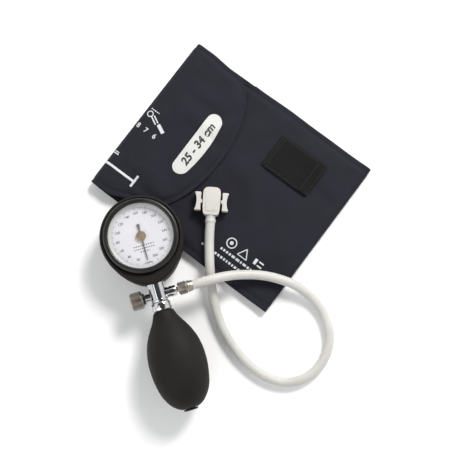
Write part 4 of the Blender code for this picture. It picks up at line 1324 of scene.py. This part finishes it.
# ---------------------------------------------------------------- gauge movement
# Clockwork brass: a base and a bridge with the spindle's bearings, a bronze pressure capsule,
# steel shafts and a toothed sector that turns the pointer's pinion.

def metal(name, light, dark, rough, scale, depth, **constants):
    """Bare or plated metal with the grain group on Object coordinates."""
    return grained(name, light, dark, rough, scale, depth, Metallic=1.0, **constants)


BRASS = metal("brass", (0.62, 0.43, 0.17), (0.36, 0.24, 0.09), (0.22, 0.42), 700.0, 0.00001)
BRONZE = metal(
    "phosphor_bronze", (0.66, 0.42, 0.25), (0.50, 0.30, 0.17), (0.25, 0.45), 600.0, 0.00001,
)
STEEL = metal("spring_steel", (0.55, 0.56, 0.58), (0.42, 0.43, 0.45), (0.20, 0.36), 800.0, 0.00001)
paint(
    BRASS, "movement_base", "movement_plate", "movement_bridge", "capsule_post", "pinion_arbor",
    "sector_gear", "bulb_nipple", "hose_barb",
)
paint(BRONZE, "pressure_capsule", "hairspring")
paint(
    STEEL, "rocking_shaft", "capsule_link", "valve_spindle", "intake_ball", "outlet_ball",
    "intake_retainer", "case_screw_1", "case_screw_2", "case_screw_3",
)


# ---------------------------------------------------------------- rubber bumper
# A thick moulded ring of black rubber stretched over the case, round on the back for the palm
# and drawn out into a lobe over the stem. Its rim stands a little below the bezel.

RUBBER = grained(
    "black_rubber", (0.0135, 0.0120, 0.0100), (0.0080, 0.0072, 0.0060), (0.58, 0.74), 420.0, 0.00006,
    **{"Specular IOR Level": 0.17},
)
GAUGE_R = 33.8
LOBE = 6.2
LOBE_SPREAD = radians(37)
BUMPER_LOW = 11.3
BUMPER_HIGH = 34.3
AXIS_HEIGHT = 23.5


def build_lobe():
    """Draws a round ring out into one lobe at -Y: a bell-shaped rise round its skin."""
    tree, given, put = group_tree("lobe", [
        ("Lobe", "NodeSocketFloat", 6.0),
        ("Spread", "NodeSocketFloat", 0.6),
        ("Core Radius", "NodeSocketFloat", 31.0),
        ("Skin Radius", "NodeSocketFloat", 33.0),
        ("Material", "NodeSocketMaterial", None),
    ])
    position = tree.nodes.new("GeometryNodeInputPosition")
    axes = tree.nodes.new("ShaderNodeSeparateXYZ")
    tree.links.new(position.outputs[0], axes.inputs[0])
    x, y, z = axes.outputs
    squares = [math_node(tree, "MULTIPLY", axis, axis) for axis in (x, y)]
    radius = math_node(tree, "SQRT", math_node(tree, "ADD", *squares))
    round_from_lobe = math_node(tree, "ADD", math_node(tree, "ARCTAN2", y, x), pi / 2)
    off = math_node(tree, "WRAP", round_from_lobe, pi, -pi)
    share = math_node(tree, "DIVIDE", off, given.outputs["Spread"])
    steep = math_node(tree, "MULTIPLY", share, share)
    bell = math_node(tree, "EXPONENT", math_node(tree, "MULTIPLY", steep, -1.0))
    skin = tree.nodes.new("ShaderNodeMapRange")
    tree.links.new(radius, skin.inputs["Value"])
    tree.links.new(given.outputs["Core Radius"], skin.inputs["From Min"])
    tree.links.new(given.outputs["Skin Radius"], skin.inputs["From Max"])
    rise = math_node(
        tree, "MULTIPLY", math_node(tree, "MULTIPLY", bell, given.outputs["Lobe"]), skin.outputs["Result"]
    )
    grow = math_node(tree, "ADD", math_node(tree, "DIVIDE", rise, radius), 1.0)
    moved = tree.nodes.new("ShaderNodeCombineXYZ")
    tree.links.new(math_node(tree, "MULTIPLY", x, grow), moved.inputs[0])
    tree.links.new(math_node(tree, "MULTIPLY", y, grow), moved.inputs[1])
    tree.links.new(z, moved.inputs[2])
    place = tree.nodes.new("GeometryNodeSetPosition")
    tree.links.new(given.outputs["Geometry"], place.inputs["Geometry"])
    tree.links.new(moved.outputs[0], place.inputs["Position"])
    coat = tree.nodes.new("GeometryNodeSetMaterial")
    tree.links.new(place.outputs["Geometry"], coat.inputs["Geometry"])
    tree.links.new(given.outputs["Material"], coat.inputs["Material"])
    tree.links.new(coat.outputs["Geometry"], put.inputs["Geometry"])
    return tree


bumper_profile = [(22.0, BUMPER_LOW + 0.4), (22.4, BUMPER_LOW), (GAUGE_R - 4.6, BUMPER_LOW)]
bumper_profile += [
    (GAUGE_R - 4.2 + 4.2 * sin(a), BUMPER_LOW + 4.2 - 4.2 * cos(a))
    for a in np.linspace(0.15, pi / 2, 8)
]
bumper_profile += [(GAUGE_R, 19.0), (GAUGE_R, 23.0), (GAUGE_R, 26.0), (GAUGE_R - 0.2, 29.0)]
bumper_profile += [
    (GAUGE_R - 0.2 - 2.0 * (1 - cos(a)), 31.4 + 2.9 * sin(a)) for a in np.linspace(0.1, pi / 2, 8)
]
bumper_profile += [
    (31.2, BUMPER_HIGH - 0.15), (30.85, BUMPER_HIGH - 0.6), (30.7, BUMPER_HIGH - 1.4),
    (30.7, 31.0), (30.0, 31.0), (30.0, 14.0), (22.3, 14.0), (22.0, 13.6),
]
round_bumper = bmesh.new()
spin(round_bumper, bumper_profile, 144)
base_mesh = bpy.data.meshes.new("round_bumper")
round_bumper.to_mesh(base_mesh)
round_bumper.free()
lobed = grown_bmesh(build_lobe(), {
    "Lobe": LOBE, "Spread": LOBE_SPREAD, "Core Radius": 30.8, "Skin Radius": GAUGE_R - 2.2,
    "Material": RUBBER,
}, base_mesh)
bumper = finished(
    "rubber_bumper", lobed, HANDSET, RUBBER, "handset", ["gauge_bumper"], crease=48,
)
STEM_PLACE = HANDSET @ Matrix.Translation((0, 0, AXIS_HEIGHT))
cut(bumper, cutter_rod(7.3, -46, -35.5, STEM_PLACE, "y"))
cut(bumper, cutter_rod(3.3, -36, -28, STEM_PLACE, "y"))


# ---------------------------------------------------------------- case and bezel
# A drawn aluminium case holds the movement. A black screwed bezel closes it over the lens.

ALUMINIUM = metal(
    "grey_aluminium", (0.46, 0.47, 0.49), (0.36, 0.37, 0.39), (0.34, 0.52), 500.0, 0.00002,
)
BLACK_PLASTIC = grained(
    "black_plastic", (0.018, 0.018, 0.017), (0.010, 0.010, 0.010), (0.22, 0.38), 900.0, 0.00001,
    **{"Specular IOR Level": 0.4},
)
paint(ALUMINIUM, "gauge_case")
paint(BLACK_PLASTIC, "lens_gasket")
BEZEL_TOP = 37.9
bezel_profile = [
    (28.6, 31.3), (30.4, 31.3), (30.4, 34.9), (30.25, 35.3), (30.4, 35.7), (30.35, 36.6),
    (30.0, 37.3), (29.5, 37.7), (28.9, BEZEL_TOP), (27.5, BEZEL_TOP), (26.9, 37.75),
    (26.35, 37.3), (26.3, 37.0), (28.6, 37.0),
]
turned(
    "bezel", bezel_profile, HANDSET, "z", BLACK_PLASTIC, "handset", ["bezel_ring"], steps=144,
    crease=50,
)


# ---------------------------------------------------------------- dial
# A white enamelled plate under a pale conical ring. The scale runs clockwise from zero at the
# stem, 0 to 300 mmHg over 340 degrees, printed in black, its numbers upright.

def build_polar_array():
    """Equal boxes on a circle: ticks when flat, knurls when stood on a cylinder."""
    tree, given, put = group_tree("polar_array", [
        ("Count", "NodeSocketInt", 12),
        ("Radius", "NodeSocketFloat", 1.0),
        ("Height", "NodeSocketFloat", 0.0),
        ("Start", "NodeSocketFloat", 0.0),
        ("Step", "NodeSocketFloat", 0.5),
        ("Item Size", "NodeSocketVector", (1, 1, 1)),
        ("Item Turn", "NodeSocketFloat", 0.0),
        ("Material", "NodeSocketMaterial", None),
    ])
    points = tree.nodes.new("GeometryNodePoints")
    index = tree.nodes.new("GeometryNodeInputIndex")
    angle = math_node(
        tree, "MULTIPLY_ADD", index.outputs[0], given.outputs["Step"], given.outputs["Start"]
    )
    place = tree.nodes.new("ShaderNodeCombineXYZ")
    tree.links.new(
        math_node(tree, "MULTIPLY", math_node(tree, "COSINE", angle), given.outputs["Radius"]),
        place.inputs[0],
    )
    tree.links.new(
        math_node(tree, "MULTIPLY", math_node(tree, "SINE", angle), given.outputs["Radius"]),
        place.inputs[1],
    )
    tree.links.new(given.outputs["Height"], place.inputs[2])
    turn = tree.nodes.new("ShaderNodeCombineXYZ")
    tree.links.new(math_node(tree, "ADD", angle, given.outputs["Item Turn"]), turn.inputs[2])
    box = tree.nodes.new("GeometryNodeMeshCube")
    spread = tree.nodes.new("GeometryNodeInstanceOnPoints")
    real = tree.nodes.new("GeometryNodeRealizeInstances")
    coat = tree.nodes.new("GeometryNodeSetMaterial")
    tree.links.new(given.outputs["Count"], points.inputs["Count"])
    tree.links.new(place.outputs[0], points.inputs["Position"])
    tree.links.new(given.outputs["Item Size"], box.inputs["Size"])
    tree.links.new(points.outputs[0], spread.inputs["Points"])
    tree.links.new(box.outputs["Mesh"], spread.inputs["Instance"])
    tree.links.new(turn.outputs[0], spread.inputs["Rotation"])
    tree.links.new(spread.outputs["Instances"], real.inputs["Geometry"])
    tree.links.new(real.outputs["Geometry"], coat.inputs["Geometry"])
    tree.links.new(given.outputs["Material"], coat.inputs["Material"])
    tree.links.new(coat.outputs["Geometry"], put.inputs["Geometry"])
    return tree


POLAR_ARRAY = build_polar_array()
DIAL_ENAMEL = grained(
    "dial_enamel", (0.66, 0.65, 0.69), (0.61, 0.60, 0.645), (0.30, 0.42), 240.0, 0.000006,
)
RING_WHITE = grained(
    "white_ring_plastic", (0.50, 0.495, 0.49), (0.43, 0.425, 0.42), (0.34, 0.48), 240.0, 0.00001,
)
DIAL_INK = grained(
    "dial_ink", (0.020, 0.020, 0.022), (0.012, 0.012, 0.013), (0.4, 0.55), 900.0, 0.000004,
)
DIAL_TOP = 31.9
turned(
    "dial_face", [(1.1, 31.2), (28.1, 31.2), (28.1, DIAL_TOP), (1.1, DIAL_TOP)], HANDSET, "z",
    DIAL_ENAMEL, "handset", ["dial_plate"], steps=144,
)
turned(
    "dial_ring",
    [(24.2, 32.15), (28.1, 32.15), (28.1, 34.15), (27.4, 34.15), (27.0, 34.0), (24.5, 32.7),
     (24.2, 32.5)],
    HANDSET, "z", RING_WHITE, "handset", ["dial_surround"], steps=144,
)
SWEEP = radians(340)
FULL_SCALE = 300
TICK_END = 23.9
for mark_step, inner, width in ((2, 22.9, 0.12), (10, 22.3, 0.2), (20, 21.8, 0.32)):
    ticks = grown_bmesh(POLAR_ARRAY, {
        "Count": FULL_SCALE // mark_step + 1,
        "Radius": (inner + TICK_END) / 2,
        "Height": DIAL_TOP + 0.012 + 0.004 * mark_step / 10,
        "Start": -pi / 2,
        "Step": -SWEEP * mark_step / FULL_SCALE,
        "Item Size": (TICK_END - inner, width, 0.02),
        "Material": DIAL_INK,
    })
    finished(f"dial_ticks_{mark_step}", ticks, HANDSET, DIAL_INK, "handset")


def dial_top(x, y):
    """Height of the dial plate."""
    return np.full(np.shape(x), DIAL_TOP)


def dial_print(name, shapes):
    """Thin black print on the dial plate."""
    laid(
        name, shapes, dial_top, HANDSET, DIAL_INK, "handset", lift=0.03,
        thickness=0.04,
    )


NUMBER_R = 19.2
for value in range(20, FULL_SCALE + 1, 20):
    angle = -pi / 2 - SWEEP * value / FULL_SCALE
    at = (NUMBER_R * cos(angle), NUMBER_R * sin(angle))
    dial_print(f"dial_number_{value}", flat_text(str(value), 2.9, at, 0, 0.05))
dial_print("dial_unit", flat_text("mmHg", 2.5, (0, -22.0), 0, 0.04))
small_print = dashes(-8.5, 8.5, -7.4, 1.5, 0.75, 3.0) + dashes(-8.5, 8.5, -9.9, 1.5, 0.75, 5.0)
small_print += dashes(-4.0, 4.0, -12.4, 1.5, 0.75, 6.0)
dial_print("dial_small_print", flat_shapes(small_print))


# ---------------------------------------------------------------- pointer
# A thin black blade with a counterweight tail, pressed on the arbor under a turned brass boss.

pointer_outline = [
    (-1.25, 9.6), (-0.5, 4.5), (-1.9, 1.5), (-1.9, -1.5), (-0.6, -3.4), (-0.42, -18.5),
    (-0.08, -20.8), (0.08, -20.8), (0.42, -18.5), (0.6, -3.4), (1.9, -1.5), (1.9, 1.5),
    (0.5, 4.5), (1.25, 9.6), (0.7, 10.1), (-0.7, 10.1),
]
POINTER_BLACK = grained(
    "pointer_black", (0.016, 0.016, 0.017), (0.010, 0.010, 0.011), (0.30, 0.45), 900.0, 0.000004,
)
round_edges(
    plate(
        "pointer_blade", pointer_outline, 32.7, 33.1, HANDSET, POINTER_BLACK, "pointer",
        ["pointer"],
    ),
    0.1, 2,
)
turned(
    "pointer_boss",
    [(0, 33.4), (3.85, 33.4), (4.0, 33.55), (4.0, 33.85), (3.8, 34.1), (3.3, 34.15), (3.15, 33.95),
     (2.2, 33.95), (2.0, 34.15), (1.5, 34.15), (1.3, 34.45), (1.0, 34.5), (0, 34.5)],
    HANDSET, "z", BRASS, "pointer", ["pointer_hub"],
)


# ---------------------------------------------------------------- lens
# A flat disc of clear acrylic with a polished edge, held by the bezel on a black gasket.

CLEAR, clear_tree, clear_shader = new_material("clear_lens", {
    "Base Color": (0.98, 0.98, 0.98, 1.0), "Metallic": 0.0, "IOR": 1.49,
})
clear_where = clear_tree.nodes.new("ShaderNodeTexCoord")
clear_haze = clear_tree.nodes.new("ShaderNodeTexNoise")
clear_haze.inputs["Scale"].default_value = 120.0
clear_haze.inputs["Detail"].default_value = 6.0
clear_tree.links.new(clear_where.outputs["Object"], clear_haze.inputs["Vector"])
clear_tree.links.new(
    math_node(clear_tree, "MULTIPLY_ADD", clear_haze.outputs["Fac"], 0.06, 0.02),
    clear_shader.inputs["Roughness"],
)
clear_tree.links.new(
    math_node(clear_tree, "MULTIPLY_ADD", clear_haze.outputs["Fac"], 0.03, 0.045),
    clear_shader.inputs["Alpha"],
)
turned(
    "lens_disc", [(0, 35.4), (28.1, 35.4), (28.3, 35.6), (28.3, 36.5), (28.1, 36.7), (0, 36.7)],
    HANDSET, "z", CLEAR, "handset", ["lens"], steps=144,
)


# ---------------------------------------------------------------- valve block
# A turned brass block with bright chrome plate. The gauge stem enters one end, the bulb's collar
# screws on the other, and the release valve and hose port cross it.

CHROME = metal(
    "polished_chrome", (0.66, 0.665, 0.68), (0.60, 0.605, 0.62), (0.05, 0.12), 260.0, 0.000004,
)
NICKEL = metal(
    "brushed_nickel", (0.42, 0.38, 0.335), (0.30, 0.27, 0.235), (0.26, 0.42), 1300.0, 0.00002,
)
paint(CHROME, "gauge_stem")
PORT_PLACE_X = HANDSET @ Matrix.Translation((0, PORT_Y / MM, AXIS_HEIGHT))
block_profile = [
    (0, -54.5), (6.3, -54.5), (6.9, -54.2), (7.0, -53.8), (7.0, -53.0), (6.75, -52.7),
    (7.0, -52.4), (7.0, -37.6), (6.75, -37.3), (7.0, -37.0), (7.0, -36.4), (6.6, -35.9),
    (6.2, -35.8), (0, -35.8),
]
block = turned(
    "chrome_block", block_profile, STEM_PLACE, "y", CHROME, "handset", ["valve_block"], crease=34,
)
cut(block, cutter_rod(3.3, -38.3, -34, STEM_PLACE, "y"))
cut(block, cutter_rod(3.3, -56, -51.2, STEM_PLACE, "y"))
cut(block, cutter_rod(3.2, -9, -4.6, PORT_PLACE_X, "x"))
cut(block, cutter_rod(4.6, 4.7, 9, PORT_PLACE_X, "x"))
collar_profile = [
    (3.3, -61.5), (7.2, -61.5), (7.8, -61.2), (8.0, -60.7), (8.0, -58.9), (7.75, -58.6),
    (7.75, -58.1), (8.0, -57.8), (8.0, -55.6), (7.7, -55.0), (7.3, -54.8), (3.3, -54.8),
]
turned("bulb_ferrule", collar_profile, STEM_PLACE, "y", CHROME, "handset", ["bulb_collar"], crease=34)


# ---------------------------------------------------------------- release valve
# A straight-knurled brass knob with a dull nickel plate, on a needle spindle in a short bonnet.
# A black washer lies between the knob and the bonnet.

paint(CHROME, "valve_bonnet")
turned(
    "release_washer", [(1.7, -12.5), (4.4, -12.5), (4.6, -12.3), (4.6, -11.5), (4.4, -11.3), (1.7, -11.3)],
    PORT_PLACE_X, "x", BLACK_PLASTIC, "valve_stem", ["valve_washer"],
)
knob_profile = [
    (1.7, -12.8), (1.7, -21.3), (0, -21.3), (0, -22.7), (3.4, -22.7), (3.8, -23.0),
    (5.6, -23.0), (6.3, -22.7), (6.85, -22.1), (6.85, -13.7), (6.4, -13.1), (5.9, -12.8),
]
turned("knob_core", knob_profile, PORT_PLACE_X, "x", NICKEL, "release_knob", ["release_knob"])


def knurl(name, radius, low, high, count, bite, place, material, body):
    """Straight knurls: square bars on edge, sunk in the cylinder that they stand on."""
    bars = grown_bmesh(POLAR_ARRAY, {
        "Count": count,
        "Radius": radius,
        "Height": (low + high) / 2,
        "Step": tau / count,
        "Item Size": (bite, bite, high - low),
        "Item Turn": pi / 4,
        "Material": material,
    })
    for vert in bars.verts:
        distance = Vector((vert.co.x, vert.co.y, 0)).length
        at_end = min(vert.co.z - low, high - vert.co.z)
        if distance > radius + bite * 0.4 and at_end < 0.01:
            vert.co.z += 0.25 if vert.co.z < (low + high) / 2 else -0.25
    return finished(name, bars, place @ AXIS_TURN["x"], material, body, crease=30)


knurl("knob_knurl", 6.78, -22.0, -13.7, 48, 0.62, PORT_PLACE_X, NICKEL, "release_knob")


# ---------------------------------------------------------------- hose port
# A chromed side port, a knurled swivel nut over the barb and a crimped ferrule over the hose.

port_profile = [
    (0.9, 5.0), (4.3, 5.0), (4.3, 8.6), (4.0, 8.9), (4.0, 9.6), (4.3, 9.9), (4.3, 14.4),
    (4.0, 14.9), (3.7, 15.0), (2.2, 15.0), (2.2, 19.6), (0.9, 19.6),
]
turned("side_port", port_profile, PORT_PLACE_X, "x", CHROME, "handset", ["hose_port"], crease=34)
nut_profile = [
    (2.6, 16.6), (4.3, 16.6), (4.7, 16.9), (4.9, 17.3), (4.9, 23.3), (4.6, 23.8), (4.2, 24.0),
    (2.6, 24.0),
]
turned("nut_core", nut_profile, PORT_PLACE_X, "x", NICKEL, "hose_nut", ["hose_nut"])
knurl("nut_knurl", 4.85, 17.3, 23.3, 36, 0.52, PORT_PLACE_X, NICKEL, "hose_nut")
ferrule_profile = [
    (1.8, 24.3), (4.6, 24.3), (4.85, 24.5), (4.9, 24.9), (4.6, 25.3), (4.35, 26.3), (4.5, 26.7),
    (4.35, 27.1), (4.1, 28.3), (3.8, 28.9), (3.5, 29.0), (1.8, 29.0),
]
turned("crimp_ferrule", ferrule_profile, PORT_PLACE_X, "x", NICKEL, "handset", ["hose_ferrule"], crease=40)


# ---------------------------------------------------------------- squeeze bulb
# A blow-moulded bulb of black rubber with a fine parting line. It is pushed on the nipple at one
# end and holds the blackened intake valve at the other.

bulb_outline = [
    (7.4, -61.9), (8.6, -63.2), (9.7, -66), (11.6, -70), (14.8, -75), (17.6, -80), (20.9, -88),
    (22.9, -98), (23.2, -106), (22.5, -115), (20.4, -125), (18.3, -130.5), (15.4, -135.2),
    (12.0, -138.9), (8.6, -141.2), (6.6, -141.9),
]
smooth_bulb = [(p.x, p.y) for p in smooth_path([(r, h, 0) for r, h in bulb_outline], 5)]
bulb_hollow = [
    (6.2, -142.0), (4.5, -142.0), (4.5, -139.0), (13.2, -133.4), (19.0, -120), (20.6, -106),
    (19.2, -90), (15.4, -80.5), (10.4, -76.6), (4.5, -76.0), (4.5, -61.9),
]
bulb = turned(
    "bulb", smooth_bulb + bulb_hollow, STEM_PLACE, "y", RUBBER, "handset", ["squeeze_bulb"],
    crease=60,
)
PARTING_WIDTH = 0.03
PARTING_RISE = 0.12
inverse = (STEM_PLACE @ AXIS_TURN["y"]).inverted()
for vert in bulb.data.vertices:
    local = inverse @ vert.co
    radius = Vector((local.x, local.y)).length
    turn = atan2(local.y, local.x)
    seam = exp(-((abs(turn) - pi / 2) / PARTING_WIDTH) ** 2)
    if radius > 7.5 and seam > 0.05:
        local.x *= 1 + PARTING_RISE * seam / radius
        local.y *= 1 + PARTING_RISE * seam / radius
        vert.co = STEM_PLACE @ AXIS_TURN["y"] @ local
plug_profile = [
    (1.1, -143.5), (1.4, -143.9), (4.9, -143.9), (5.6, -143.6), (6.0, -143.1), (6.0, -142.4),
    (4.2, -142.4), (4.2, -134.0), (2.4, -134.0), (2.4, -139.2), (1.1, -140.6),
]
BLACKENED = metal(
    "blackened_plate", (0.030, 0.029, 0.028), (0.020, 0.019, 0.018), (0.35, 0.50), 900.0, 0.00001,
)
turned(
    "intake_valve_cap", plug_profile, STEM_PLACE, "y", BLACKENED, "handset", ["intake_plug"],
    crease=34,
)
